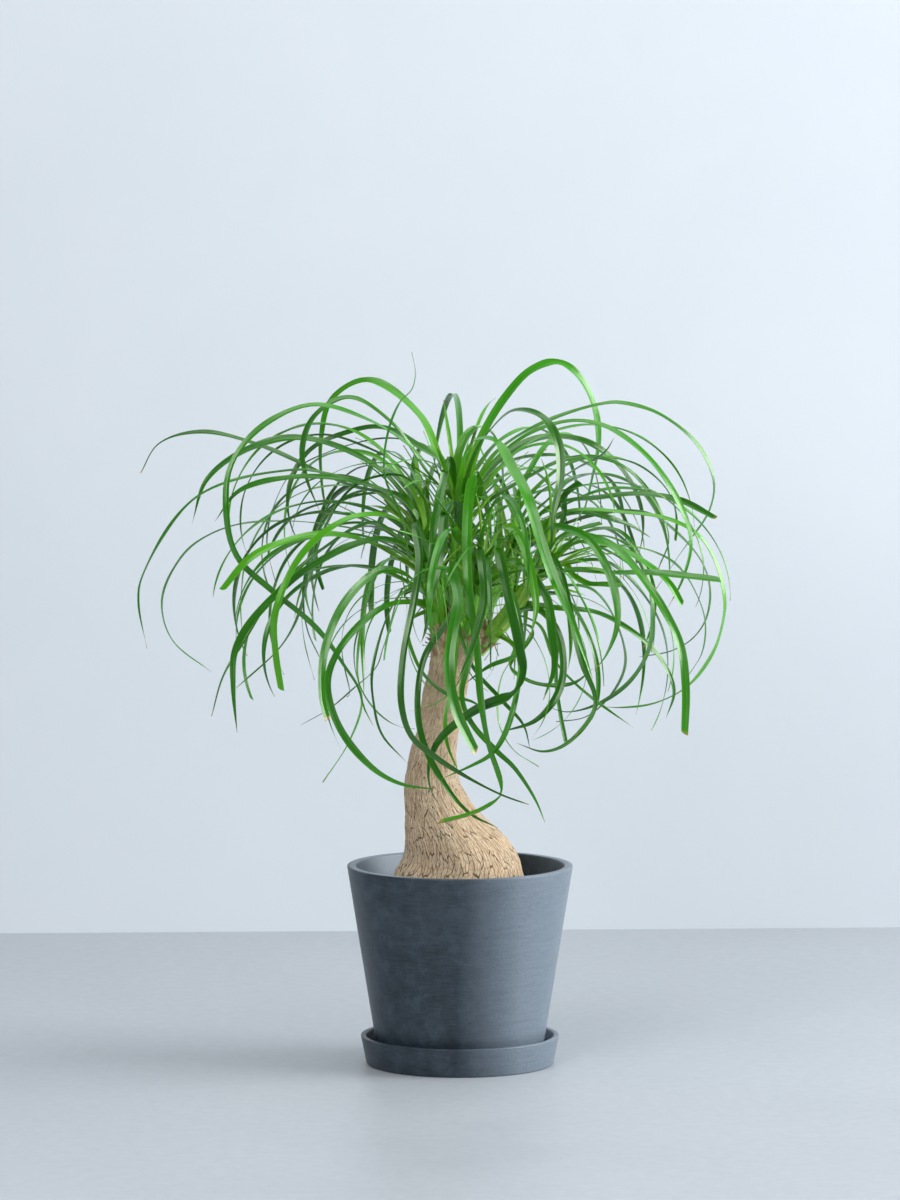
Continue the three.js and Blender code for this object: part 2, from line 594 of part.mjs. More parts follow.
// Share of the full width at a place along the blade; a cut one ends before its point
function taper(along, cut) {
  const place = cut ? along * outline.cutAt : along;
  const flare = 1 + outline.flare * Math.exp(-place * outline.flareFade);
  return flare * Math.min(1, (1 - place) / outline.pointed) ** outline.fullness;
}

// Stations for the faceted blade: one for each bend or run
function stationsOf(route, frames) {
  const measure = [0];
  for (let index = 1; index <= samples; index += 1) {
    const run = route[index].distanceTo(route[index - 1]) / facets.run;
    const bend = THREE.MathUtils.radToDeg(frames[index].tangent.angleTo(frames[index - 1].tangent));
    measure.push(measure[index - 1] + run + bend / facets.bend);
  }
  const count = Math.max(facets.fewest, Math.round(measure[samples]));
  const stations = [];
  for (let station = 0; station <= count; station += 1) {
    const target = measure[samples] * station / count;
    stations.push(station === count ? samples : measure.findIndex((value) => value >= target));
  }
  return stations;
}

function bladeGeometry(blade, route) {
  const frames = bladeFrames(route, blade.turn);
  const stations = stationsOf(route, frames);
  const positions = [];
  const last = stations.length - 1;
  stations.forEach((station, order) => {
    const along = station / samples;
    const half = Math.max(blade.width * taper(along, blade.cut) / 2, 0);
    const { face, side } = frames[station];
    const point = route[station];
    if (order === last && !blade.cut) {
      positions.push(point.x, point.y, point.z);
      return;
    }
    const rise = channel.rise * half * 2;
    [[half, rise], [-half, rise], [0, -channel.keel]].forEach(([across, lift]) => {
      const corner = point.clone().addScaledVector(side, across).addScaledVector(face, lift);
      positions.push(corner.x, corner.y, corner.z);
    });
  });
  const index = [0, 1, 2];
  for (let order = 0; order < last; order += 1) {
    const low = order * 3;
    const high = low + 3;
    for (let corner = 0; corner < 3; corner += 1) {
      const next = (corner + 1) % 3;
      if (order === last - 1 && !blade.cut) {
        index.push(low + next, low + corner, high);
      } else {
        index.push(low + next, low + corner, high + corner, low + next, high + corner, high + next);
      }
    }
  }
  if (blade.cut) {
    index.push(last * 3 + 2, last * 3 + 1, last * 3);
  }
  const geometry = new THREE.BufferGeometry();
  geometry.setAttribute('position', new THREE.Float32BufferAttribute(positions, 3));
  geometry.setIndex(index);
  return geometry;
}

function generator(seed) {
  let state = seed;
  return (low, high) => {
    state = state * randomStep % randomCycle;
    return low + (high - low) * state / randomCycle;
  };
}

function grownLeaf(head, order, draw) {
  const [from, to] = head.grown.sector;
  const { degToRad, lerp } = THREE.MathUtils;
  const share = (order + 0.5) * goldenShare % 1;
  const up = lerp(growth.lowest, 1, (order + 0.5) / head.grown.count);
  const azimuth = degToRad(lerp(from, to, share) + draw(-growth.headingSpread, growth.headingSpread));
  const pitch = degToRad(lerp(...growth.pitch, up) + draw(-growth.pitchSpread, growth.pitchSpread));
  const droop = degToRad(draw(...growth.droop));
  const drift = degToRad(draw(-growth.drift, growth.drift));
  const step = draw(...growth.length) / samples;
  const route = [stubCurve(head).getPointAt(up * stub.lastRoot)];
  for (let index = 1; index <= samples; index += 1) {
    const along = index / samples;
    const lean = pitch - (pitch + droop) * along ** growth.droopEase;
    const heading = azimuth + drift * along ** 2;
    route.push(route[index - 1].clone().add(new THREE.Vector3(
      step * Math.cos(lean) * Math.cos(heading),
      step * Math.cos(lean) * Math.sin(heading),
      step * Math.sin(lean),
    )));
  }
  const width = draw(...growth.width);
  const rootTurn = draw(-growth.rootTurn, growth.rootTurn);
  const turn = [rootTurn, draw(-growth.tipTurn, growth.tipTurn)];
  const cut = draw(0, 1) < growth.cutShare;
  return { up, width, turn, cut, route };
}

// What a leaf keeps clear of: stubs, the trunk and the leaves placed before it
function tangentAt(route, index) {
  const before = route[Math.max(0, index - 1)];
  const after = route[Math.min(route.length - 1, index + 1)];
  return after.clone().sub(before).normalize();
}

function nearestTrouble(route, width, name, placed) {
  const box = new THREE.Box3().setFromPoints(route).expandByScalar(clearance.reach);
  const step = route[0].distanceTo(route[1]);
  let worst = null;
  placed.filter((other) => other.box.intersectsBox(box)).forEach((other) => {
    route.forEach((point, index) => {
      const sameHead = other.name === name;
      if (sameHead && (other.solid || index * step < clearance.root)) {
        return;
      }
      other.route.forEach((mate, place) => {
        const reach = other.solid ? other.width + clearance.solidReach : clearance.reach;
        const offset = point.clone().sub(mate);
        const gap = offset.length();
        if (gap >= reach || (sameHead && place * other.step < clearance.root)) {
          return;
        }
        const tangent = tangentAt(route, index);
        const alike = tangent.dot(other.tangents[place]) ** 2;
        const share = THREE.MathUtils.lerp(clearance.crossing, clearance.alongside, alike);
        const apart = other.solid ? other.width + width / 2 : share * (width + other.width);
        const need = clearance.gap + apart;
        if (gap < need && (worst === null || need - gap > worst.short)) {
          worst = { short: need - gap, index, offset, need, tangent, mate: other.tangents[place] };
        }
      });
    });
  });
  return worst;
}

function bendClear(route, width, name, placed) {
  let bent = route;
  for (let pass = 0; pass < bending.passes; pass += 1) {
    const trouble = nearestTrouble(bent, width, name, placed);
    if (trouble === null) {
      return { route: bent, short: 0 };
    }
    const { tangent, offset, need, index } = trouble;
    const across = tangent.clone().cross(trouble.mate);
    const sideways = offset.clone().addScaledVector(tangent, -offset.dot(tangent));
    const away = (across.length() > bending.parallel ? across : sideways).normalize();
    const apart = away.dot(offset);
    away.multiplyScalar((need - Math.abs(apart) + bending.extra) * (apart < 0 ? -1 : 1));
    const step = bent[0].distanceTo(bent[1]);
    bent = bent.map((point, place) => {
      const near = Math.exp(-(((place - index) * step / bending.soft) ** 2));
      const free = THREE.MathUtils.smoothstep(place * step, 0, clearance.root);
      return point.clone().addScaledVector(away, near * free);
    });
  }
  const left = nearestTrouble(bent, width, name, placed);
  return { route: bent, short: left === null ? 0 : left.short };
}

function obstacle(route, name, width, solid = false) {
  return {
    route,
    name,
    width,
    solid,
    step: route[0].distanceTo(route[1]),
    tangents: route.map((point, index) => tangentAt(route, index)),
    box: new THREE.Box3().setFromPoints(route).expandByScalar(solid ? width : 0),
  };
}

const placed = heads.map((head) => (
  obstacle(stubCurve(head).getSpacedPoints(stub.stops), head.name, stub.girth, true)
));
for (let z = trunkFoot; z < trunkTop; z += trunkStops.apart) {
  const { x, radius } = alongTrunk(z);
  const ends = [new THREE.Vector3(x, 0, z), new THREE.Vector3(x, 0, z + trunkStops.length)];
  placed.push(obstacle(ends, 'trunk', radius, true));
}

const blades = [];
heads.forEach((head) => {
  head.leaves.forEach((blade) => {
    const course = blade.course.map(seen);
    const up = blade.up * stub.lastRoot;
    const root = stubCurve(head).getPointAt(up);
    root.lerp(course[0], stub.rootOut * stubRadiusAt(up) / root.distanceTo(course[0]));
    const { route, short } = bendClear(evenly([root, ...course]), blade.width, head.name, placed);
    placed.push(obstacle(route, head.name, blade.width));
    blades.push({ ...blade, name: head.name, route, short });
  });
});
heads.forEach((head) => {
  const draw = generator(head.grown.seed);
  for (let order = 0; order < head.grown.count; order += 1) {
    let found = null;
    for (let attempt = 0; attempt < growth.tries && found === null; attempt += 1) {
      const blade = grownLeaf(head, order, draw);
      const { route, short } = bendClear(blade.route, blade.width, head.name, placed);
      if (short < bending.leftOver) {
        found = { ...blade, name: head.name, route, short };
      }
    }
    if (found !== null) {
      placed.push(obstacle(found.route, head.name, found.width));
      blades.push(found);
    }
  }
});

heads.forEach((head) => {
  let solid = toSolid(stem(stubCurve(head), stub.radii, stub.sides));
  blades.filter(({ name }) => name === head.name).forEach((blade) => {
    solid = solid.add(toSolid(bladeGeometry(blade, blade.route)));
  });
  addPiece(head.name, toGeometry(solid), finishes.leaves);
});

export default group;
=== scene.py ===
# Potted ponytail palm in a slate-grey pot and saucer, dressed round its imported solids.
# Metres and +Z up; +Y points away from the viewer, and the saucer stands at the origin.

import math
import bmesh
import bpy
import numpy as np
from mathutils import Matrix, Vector, noise


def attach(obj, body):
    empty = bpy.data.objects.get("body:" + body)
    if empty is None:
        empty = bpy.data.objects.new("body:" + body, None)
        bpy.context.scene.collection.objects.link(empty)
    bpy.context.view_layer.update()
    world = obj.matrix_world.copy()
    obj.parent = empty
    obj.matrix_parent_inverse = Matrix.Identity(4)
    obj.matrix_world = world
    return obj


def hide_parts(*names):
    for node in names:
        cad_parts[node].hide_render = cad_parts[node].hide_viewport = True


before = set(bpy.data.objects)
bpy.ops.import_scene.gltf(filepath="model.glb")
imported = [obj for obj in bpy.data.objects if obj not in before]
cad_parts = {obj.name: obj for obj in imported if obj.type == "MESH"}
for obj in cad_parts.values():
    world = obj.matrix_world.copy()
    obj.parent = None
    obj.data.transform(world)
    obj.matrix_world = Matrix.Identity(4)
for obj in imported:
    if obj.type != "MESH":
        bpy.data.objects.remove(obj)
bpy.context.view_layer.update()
MM = 0.001


# Camera and room: a bright white room seen from well back with a long lens. The floor is
# pale smoothed concrete, the wall is plastered, and a big window lies to the right.
camera_place, looks_down = (-0.011, -6.630, 1.0995), 5.04
film_width, long_lens, farthest_seen = 36.0, 181.29, 60.0
camera_data = bpy.data.cameras.new("camera")
camera_data.sensor_width = film_width
camera_data.lens = long_lens
camera_data.clip_end = farthest_seen
camera = bpy.data.objects.new("camera", camera_data)
bpy.context.collection.objects.link(camera)
camera.location = camera_place
camera.rotation_euler = (math.radians(90.0 - looks_down), 0.0, 0.0)
bpy.context.scene.camera = camera
bpy.context.scene.view_settings.view_transform = "Standard"


def new_material(name):
    material = bpy.data.materials.new(name)
    material.use_nodes = True
    return material, material.node_tree, material.node_tree.nodes["Principled BSDF"]


def give(tree, socket, value):
    """Links a socket to another node's socket, or sets it to a number or colour."""
    if isinstance(value, bpy.types.NodeSocket):
        tree.links.new(value, socket)
    elif isinstance(value, tuple) and len(value) == 3 and len(socket.default_value) == 4:
        socket.default_value = (*value, 1.0)
    else:
        socket.default_value = value


def add_node(tree, kind, values=(), **settings):
    """A node with its settings; each value is a number, a colour or another node's socket."""
    node = tree.nodes.new(kind)
    for name, setting in settings.items():
        setattr(node, name, setting)
    for socket, value in dict(values).items():
        give(tree, node.inputs[socket], value)
    return node


def place_coordinates(tree, scale=(1.0, 1.0, 1.0), turn=(0.0, 0.0, 0.0)):
    """Object coordinates, stretched and turned."""
    place = add_node(tree, "ShaderNodeTexCoord").outputs["Object"]
    return add_node(tree, "ShaderNodeMapping",
                    {"Vector": place, "Scale": scale, "Rotation": turn}).outputs["Vector"]


# Mottling is one node group that every stone, bark, soil and leaf material uses: broad
# blotches with finer ones laid over them.
finer, fine_share = 4.7, 0.2
mottling = bpy.data.node_groups.new("mottling", "ShaderNodeTree")
mottling.interface.new_socket("Place", in_out="INPUT", socket_type="NodeSocketVector")
for name in ("Scale", "Detail", "Roughness", "Distortion"):
    mottling.interface.new_socket(name, in_out="INPUT", socket_type="NodeSocketFloat")
mottling.interface.new_socket("Share", in_out="OUTPUT", socket_type="NodeSocketFloat")
given = add_node(mottling, "NodeGroupInput").outputs
fine_scale = add_node(mottling, "ShaderNodeMath", {0: given["Scale"], 1: finer},
                      operation="MULTIPLY").outputs["Value"]
blotches, fine_blotches = (
    add_node(mottling, "ShaderNodeTexNoise", {
        "Vector": given["Place"], "Scale": scale, "Detail": given["Detail"],
        "Roughness": given["Roughness"], "Distortion": given["Distortion"]}).outputs["Fac"]
    for scale in (given["Scale"], fine_scale))
both = add_node(mottling, "ShaderNodeMix", {0: fine_share, 2: blotches, 3: fine_blotches},
                data_type="FLOAT").outputs[0]
add_node(mottling, "NodeGroupOutput", {"Share": both})


def noise_value(tree, place, scale, detail=4.0, roughness=0.55, distortion=0.0):
    return add_node(tree, "ShaderNodeGroup", {
        "Place": place, "Scale": scale, "Detail": detail,
        "Roughness": roughness, "Distortion": distortion}, node_tree=mottling).outputs["Share"]


def ramp(tree, value, *stops):
    """A colour or grey for each stop (place, colour) of a value."""
    node = add_node(tree, "ShaderNodeValToRGB", {"Fac": value})
    elements = node.color_ramp.elements
    while len(elements) < len(stops):
        elements.new(0.5)
    for element, (place, colour) in zip(elements, stops):
        element.position = place
        if isinstance(colour, (int, float)):
            colour = (colour, colour, colour)
        element.color = (*colour, 1.0)
    return node.outputs["Color"]


def blend_colours(tree, share, low, high):
    return add_node(tree, "ShaderNodeMix", {0: share, 6: low, 7: high}, data_type="RGBA").outputs[2]


def bump(tree, height, strength, distance, normal=None):
    values = {"Height": height, "Strength": strength, "Distance": distance}
    if normal is not None:
        values["Normal"] = normal
    return add_node(tree, "ShaderNodeBump", values).outputs["Normal"]


def feed(tree, shader, **sockets):
    """Sets or links a shader's sockets by name."""
    for name, value in sockets.items():
        give(tree, shader.inputs[name.replace("_", " ")], value)


concrete, tree, shader = new_material("smoothed_concrete")
place = place_coordinates(tree)
cloudy = noise_value(tree, place, 2.6, 5.0, 0.6, 0.6)
speckled = noise_value(tree, place, 60.0, 3.0, 0.6)
worn = blend_colours(tree, 0.35, ramp(tree, cloudy, (0.3, (0.42, 0.45, 0.48)), (0.7, (0.50, 0.53, 0.56))),
                     ramp(tree, speckled, (0.3, (0.40, 0.43, 0.46)), (0.7, (0.54, 0.57, 0.60))))
feed(tree, shader, Base_Color=worn, Roughness=ramp(tree, cloudy, (0.3, 0.36), (0.75, 0.52)),
     Normal=bump(tree, speckled, 0.12, 0.0006), Specular_IOR_Level=0.35)

plaster, tree, shader = new_material("plastered_wall")
place = place_coordinates(tree)
brushed = noise_value(tree, place, 3.0, 6.0, 0.6, 0.4)
feed(tree, shader, Base_Color=ramp(tree, brushed, (0.3, (0.70, 0.745, 0.79)), (0.75, (0.735, 0.775, 0.815))),
     Roughness=0.9, Normal=bump(tree, brushed, 0.15, 0.004),
     Emission_Color=(0.80, 0.89, 1.0, 1.0), Emission_Strength=0.02)
# The wall can't be seen from behind, so a view from the back of the room isn't blocked.
see_through = add_node(tree, "ShaderNodeBsdfTransparent").outputs["BSDF"]
behind = add_node(tree, "ShaderNodeNewGeometry").outputs["Backfacing"]
one_sided = add_node(tree, "ShaderNodeMixShader", {0: behind, 1: shader.outputs["BSDF"], 2: see_through})
tree.links.new(one_sided.outputs["Shader"], tree.nodes["Material Output"].inputs["Surface"])

room_width, wall_height, wall_middle, wall_distance, wall_turn = 24.0, 8.02, 4.0, 1.03, 2.6


def add_sheet(name, material, place, turn, size):
    """A flat side of the room, which isn't part of the object."""
    bpy.ops.object.select_all(action="DESELECT")
    bpy.ops.mesh.primitive_plane_add(size=1.0, location=place, rotation=np.radians(turn))
    sheet = bpy.context.object
    sheet.name = name
    bpy.ops.transform.resize(value=size)
    bpy.ops.object.transform_apply(location=True, rotation=True, scale=True)
    sheet.data.materials.append(material)


add_sheet("floor", concrete, (0.0, 0.0, 0.0), (0.0, 0.0, 0.0), (room_width, room_width, 1.0))
add_sheet("wall", plaster, (0.0, wall_distance, wall_middle), (90.0, 0.0, wall_turn),
          (room_width, 1.0, wall_height))

world = bpy.data.worlds.new("room_light")
world.use_nodes = True
bpy.context.scene.world = world
room_colour, room_strength, daylight = (0.86, 0.93, 1.0, 1.0), 0.15, (0.97, 0.985, 1.0)
room_light = world.node_tree.nodes["Background"].inputs
room_light["Color"].default_value = room_colour
room_light["Strength"].default_value = room_strength


def add_window(name, place, towards, width, height, power):
    """A soft rectangular light that faces a point."""
    data = bpy.data.lights.new(name, "AREA")
    data.shape = "RECTANGLE"
    data.size = width
    data.size_y = height
    data.energy = power
    data.color = daylight
    lamp = bpy.data.objects.new(name, data)
    bpy.context.collection.objects.link(lamp)
    lamp.location = place
    lamp.rotation_euler = (Vector(towards) - Vector(place)).to_track_quat("-Z", "Y").to_euler()


add_window("window", (4.0, -0.45, 1.75), (0.0, -0.55, 0.45), 3.0, 2.4, 212.0)
add_window("roof_light", (0.1, -0.9, 3.0), (0.0, -0.7, 0.0), 3.2, 1.8, 42.0)
add_window("front_room", (-1.6, -3.2, 1.9), (0.0, 0.0, 0.3), 2.0, 1.8, 54.0)


# Saucer: one moulded tray of stone and resin composite with a flat floor and a low wall that
# leans out. Its edges are softly rounded, and the pot stands loose on its floor.
saucer_rim, saucer_base, saucer_height, saucer_wall, saucer_floor = 110.0, 103.5, 32.0, 6.0, 6.0
pot_taper = 0.161
round_sides, same_place, touching = 160, 2e-5, 1e-6


def soft_profile(corners, steps=4):
    """Radius and height of each ring in millimetres, with the marked corners rounded."""
    rings = []
    for index, (radius, height, rounding) in enumerate(corners):
        corner = np.array((radius, height), float)
        if not rounding:
            rings.append(corner)
            continue
        before = np.array(corners[index - 1][:2], float) - corner
        after = np.array(corners[(index + 1) % len(corners)][:2], float) - corner
        start = corner + before * rounding / np.linalg.norm(before)
        end = corner + after * rounding / np.linalg.norm(after)
        for step in range(steps + 1):
            t = step / steps
            rings.append((1 - t) ** 2 * start + 2 * t * (1 - t) * corner + t * t * end)
    return [(ring[0] * MM, ring[1] * MM) for ring in rings]


def edit_all():
    """Opens the piece just made for editing, with all of it selected."""
    bpy.ops.object.mode_set(mode="EDIT")
    bpy.ops.mesh.select_all(action="SELECT")


def end_edit():
    """Turns all faces outwards and ends the editing."""
    bpy.ops.mesh.select_all(action="SELECT")
    bpy.ops.mesh.normals_make_consistent(inside=False)
    bpy.ops.object.mode_set(mode="OBJECT")


def select_points(piece, wanted):
    """Selects only the wanted points of a piece that is being edited."""
    mesh = bmesh.from_edit_mesh(piece.data)
    for vertex in mesh.verts:
        vertex.select = bool(wanted(*vertex.co))
    mesh.select_flush(True)
    bmesh.update_edit_mesh(piece.data)


def raise_rings(name, rings, sides=round_sides, close=True):
    """A turned piece: a ring is extruded through the profile, then closed at both ends."""
    bpy.ops.object.select_all(action="DESELECT")
    bpy.ops.mesh.primitive_circle_add(vertices=sides, radius=rings[0][0], location=(0.0, 0.0, rings[0][1]))
    piece = bpy.context.object
    piece.name = name
    bpy.ops.object.transform_apply(location=True, rotation=True, scale=True)
    edit_all()
    for (radius, height), (next_radius, next_height) in zip(rings, rings[1:]):
        bpy.ops.mesh.extrude_region_move(
            TRANSFORM_OT_translate={"value": (0.0, 0.0, next_height - height)})
        growth = next_radius / radius
        bpy.ops.transform.resize(value=(growth, growth, 1.0), center_override=(0.0, 0.0, next_height))
    if close:
        for radius, height in (rings[0], rings[-1]):
            select_points(piece, lambda x, y, z: abs(math.hypot(x, y) - radius) < same_place
                          and abs(z - height) < same_place)
            bpy.ops.mesh.edge_face_add()
            bpy.ops.mesh.poke()
    else:
        bpy.ops.mesh.select_all(action="SELECT")
        bpy.ops.mesh.remove_doubles(threshold=touching)
    end_edit()
    return piece


def smooth_piece(piece, angle=35.0):
    bpy.ops.object.select_all(action="DESELECT")
    piece.select_set(True)
    bpy.context.view_layer.objects.active = piece
    bpy.ops.object.shade_smooth_by_angle(angle=math.radians(angle))


def times(tree, first, second):
    return add_node(tree, "ShaderNodeMath", {0: first, 1: second}, operation="MULTIPLY").outputs["Value"]


def fade(tree, value, start, end, low=0.0, high=1.0):
    """A value that goes from low to high as another goes from start to end, and stays there."""
    return add_node(tree, "ShaderNodeMapRange", {
        "Value": value, "From Min": start, "From Max": end, "To Min": low, "To Max": high}).outputs["Result"]


def layered(tree, colour, *layers):
    """A colour with others laid over it; each has a mask, the mask's ramp if any, and a colour."""
    for mask, stops, over in layers:
        share = ramp(tree, mask, *stops) if stops else mask
        colour = blend_colours(tree, share, colour, over)
    return colour


slate, tree, shader = new_material("slate_composite")
place = place_coordinates(tree)
mottled = noise_value(tree, place, 52.0, 6.0, 0.66, 0.15)
patchy = noise_value(tree, place, 11.0, 5.0, 0.6, 0.2)
brushed = noise_value(tree, place_coordinates(tree, (60.0, 60.0, 900.0)), 1.0, 3.0, 0.6)
grit = noise_value(tree, place, 900.0, 2.0, 0.7)
scuff_place = place_coordinates(tree, (30.0, 30.0, 330.0), (0.20, 0.12, 0.0))
scuffed = noise_value(tree, scuff_place, 1.0, 5.0, 0.65, 0.6)
spot = add_node(tree, "ShaderNodeSeparateXYZ", {"Vector": place}).outputs
# A chalky bloom with painted sheen lies on the side towards the window: the lighter colour is partly real
# chalky scuffs and partly a painted reflection of the window. The distance from the axis, less the wall's
# lean, tells the outside of the pot's wall from its inside.
flat_place = add_node(tree, "ShaderNodeVectorMath", {0: place, 1: (1.0, 1.0, 0.0)}, operation="MULTIPLY")
from_axis = add_node(tree, "ShaderNodeVectorMath", {0: flat_place.outputs["Vector"]}, operation="LENGTH")
upright = add_node(tree, "ShaderNodeMath", {
    0: spot["Z"], 1: -pot_taper, 2: from_axis.outputs["Value"]}, operation="MULTIPLY_ADD").outputs["Value"]
chalk_and_painted_sheen = times(tree, fade(tree, spot["X"], -0.004, 0.066), ramp(tree, scuffed, (0.30, 0.74), (0.64, 1.0)))
chalk_and_painted_sheen = times(tree, chalk_and_painted_sheen, fade(tree, upright, 0.0800, 0.0815, 0.12, 1.0))
lit_inside = times(tree, fade(tree, upright, 0.0885, 0.0855), fade(tree, spot["X"], 0.030, -0.060, 0.0, 0.9))
stone = ramp(tree, mottled, (0.36, (0.008, 0.014, 0.022)), (0.50, (0.020, 0.033, 0.048)),
             (0.66, (0.056, 0.082, 0.108)))
stone = layered(
    tree, stone,
    (patchy, ((0.35, 0.0), (0.72, 0.60)), (0.046, 0.066, 0.088)),
    (brushed, ((0.44, 0.0), (0.66, 0.42)), (0.070, 0.094, 0.120)),
    # painted sheen towards the window, mixed with chalky scuffs
    (chalk_and_painted_sheen, None, (0.205, 0.252, 0.305)),
    (lit_inside, None, (0.205, 0.262, 0.325)),
    (scuffed, ((0.60, 0.0), (0.75, 0.22)), (0.110, 0.138, 0.168)),
    (grit, ((0.55, 0.0), (0.66, 0.60)), (0.012, 0.018, 0.026)))
feed(tree, shader, Base_Color=stone, Roughness=ramp(tree, mottled, (0.30, 0.34), (0.75, 0.48)),
     Normal=bump(tree, grit, 0.22, 0.0004, bump(tree, brushed, 0.10, 0.0006)), Specular_IOR_Level=0.45)

foot_round, edge_round, floor_round = 2.0, 1.4, 3.0
saucer_profile = soft_profile([
    (saucer_base, 0.0, foot_round),
    (saucer_rim, saucer_height, edge_round),
    (saucer_rim - saucer_wall, saucer_height, edge_round),
    (saucer_base - saucer_wall, saucer_floor, floor_round),
    (40.0, saucer_floor, 0.0),
    (20.0, 0.0, 0.0),
])[:-1]
saucer_profile.insert(0, (0.6 * saucer_base * MM, 0.0))
saucer = raise_rings("moulded_saucer", saucer_profile)
smooth_piece(saucer)
saucer.data.materials.append(slate)
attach(saucer, "root")
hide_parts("saucer")


# Pot: a thick-walled tapered pot of the same composite, moulded in one with a drain hole in
# its floor. The rim is flat with softened edges, and the wall is 10 mm thick.
pot_rim, pot_height, pot_wall, pot_floor, drain, rim_round = 125.0, 215.0, 10.0, 10.0, 10.0, 1.8
pot_top = saucer_floor + pot_height


def pot_outside(z):
    return pot_rim - pot_taper * (pot_top - z)


def pot_inside(z):
    return pot_outside(z) - pot_wall


def stepped(low, high, count):
    """Rings part way up a straight wall, so that its shading stays even."""
    return [(low[0] + (high[0] - low[0]) * step / count, low[1] + (high[1] - low[1]) * step / count)
            for step in range(1, count)]


inner_floor = saucer_floor + pot_floor
pot_profile = soft_profile([
    (drain, saucer_floor, 0.0),
    (pot_outside(saucer_floor), saucer_floor, foot_round),
    (pot_rim, pot_top, rim_round),
    (pot_inside(pot_top), pot_top, rim_round),
    (pot_inside(inner_floor), inner_floor, floor_round),
    (drain, inner_floor, 0.0),
])
wall_foot, wall_steps = 5, 12
pot_profile[wall_foot + 1:wall_foot + 1] = stepped(*pot_profile[wall_foot:wall_foot + 2], wall_steps)
pot_profile.append(pot_profile[0])
pot = raise_rings("moulded_pot", pot_profile, close=False)
smooth_piece(pot)
pot.data.materials.append(slate)
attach(pot, "root")
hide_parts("pot")


# Trunk: a swollen grey-tan foot that narrows to a leaning neck and ends in a knobby top. Its
# corky bark is split by long cracks, finer and straighter up the neck, in plates at the foot.
trunk_stations = [
    (148, 0, 44), (158, 0, 60), (172, 0, 69), (186, 0, 72.5), (200, 0, 73), (211, 0.5, 71.2),
    (228, 2.8, 65), (250, -4.6, 56.6), (271, -16.7, 45.4), (292, -26.5, 36.1), (313, -31.5, 30.6),
    (335, -30.8, 27.1), (356, -27.8, 24.8), (377, -22.6, 22.6), (398, -18.8, 23.3), (420, -15, 23.9),
    (441, -9.9, 23.7), (460, -3.3, 28.6), (474, 0, 32.5), (484, 1, 30), (490, 2, 18),
]
bark_columns, bark_rows = 384, 236
bark_round_below, bark_ease_in = 196.0, 30.0
relief_from, relief_full, knob_from, knob_calm = 176.0, 186.0, 484.0, 0.6
plates_below, neck_from = 250.0, 350.0
crack_cell, crack_stretch, crack_width = 4.4, 4.5, 0.22
pit_cell, pit_share, pit_middle_share, pit_edge_share = 4.6, 0.42, 0.10, 0.30
end_rise, end_share = 0.0015, 0.55
grain_girth, bark_seed = 45.0, 5
# Blender's vector noise is seeded by the clock unless it is given a seed.
noise.seed_set(bark_seed)
trunk_foot, trunk_top = trunk_stations[0][0], trunk_stations[-1][0]


def smoothstep(value, low, high):
    share = min(max((value - low) / (high - low), 0.0), 1.0)
    return share * share * (3.0 - 2.0 * share)


def along_trunk(z):
    """The trunk's middle and radius at a height, smoothly through its stations."""
    last = len(trunk_stations) - 1
    above = max(1, next(index for index, station in enumerate(trunk_stations) if station[0] >= z))
    z0, x0, r0 = trunk_stations[above - 1]
    z1, x1, r1 = trunk_stations[above]
    z_before, x_before, r_before = trunk_stations[max(0, above - 2)]
    z_after, x_after, r_after = trunk_stations[min(last, above + 1)]
    t = (z - z0) / (z1 - z0)

    def ease(start, end, before, after):
        rise = (end - before) / (z1 - z_before) * (z1 - z0)
        run = (after - start) / (z_after - z0) * (z1 - z0)
        return ((2 * t ** 3 - 3 * t ** 2 + 1) * start + (t ** 3 - 2 * t ** 2 + t) * rise
                + (3 * t ** 2 - 2 * t ** 3) * end + (t ** 3 - t ** 2) * run)

    return ease(x0, x1, x_before, x_after), ease(r0, r1, r_before, r_after)


def bark_form(angle, z, radius):
    """The lumpy round of the trunk, as in its solid."""
    rough = smoothstep(z, bark_round_below, bark_round_below + bark_ease_in)
    lumps = 0.03 * (math.sin(3 * angle + z / 40) + 0.6 * math.sin(5 * angle - z / 26))
    groove = max(0.0, math.cos(9 * angle + 1.1 * math.sin(z / 34))) ** 4
    return radius * (1 + rough * (lumps - groove / 60))


def crack_depth(point):
    """How deep a point lies in a crack between long plates: 1 in the middle of the crack."""
    spot = Vector((point.x / crack_cell, point.y / crack_cell, point.z / (crack_cell * crack_stretch)))
    near = noise.voronoi(spot)[0]
    return 1.0 - smoothstep(near[1] - near[0], 0.0, crack_width)


def bark_detail(point, z):
    """How far the bark stands out in millimetres, and how deep its cracks and pits are."""
    foot = 1.0 - smoothstep(z, plates_below, neck_from)
    warp = noise.noise_vector(point / 21.0) * 5.5 + noise.noise_vector(point / 6.0) * 1.3
    warped = point + warp
    fissures = crack_depth(warped + Vector((31.0, 7.0, 3.0)))
    fissures *= 0.35 + 0.25 * (1.0 - foot) + 0.5 * noise.noise(point / 9.0)
    (pit_near, *_), (pit_middle, *_) = noise.voronoi(point / pit_cell)
    chosen = noise.cell(pit_middle * 7.3) > pit_share
    pits = 1.0 - smoothstep(pit_near, pit_middle_share, pit_edge_share) if chosen else 0.0
    fibres = noise.noise(Vector((point.x / 1.7, point.y / 1.7, point.z / 13.0)))
    swell = noise.noise(point / 24.0) * 0.9 + noise.noise(point / 9.0) * 0.45
    depth = max(0.40 * max(fissures, 0.0), 0.45 * pits)
    return swell + 0.25 * fibres - depth, min(max(fissures, pits), 1.0)


def add_values(piece, name, value):
    """Gives each point of a piece a number that its material reads."""
    values = np.broadcast_to(value, (len(piece.data.vertices),)).astype(float)
    piece.data.attributes.new(name, "FLOAT", "POINT").data.foreach_set("value", values)


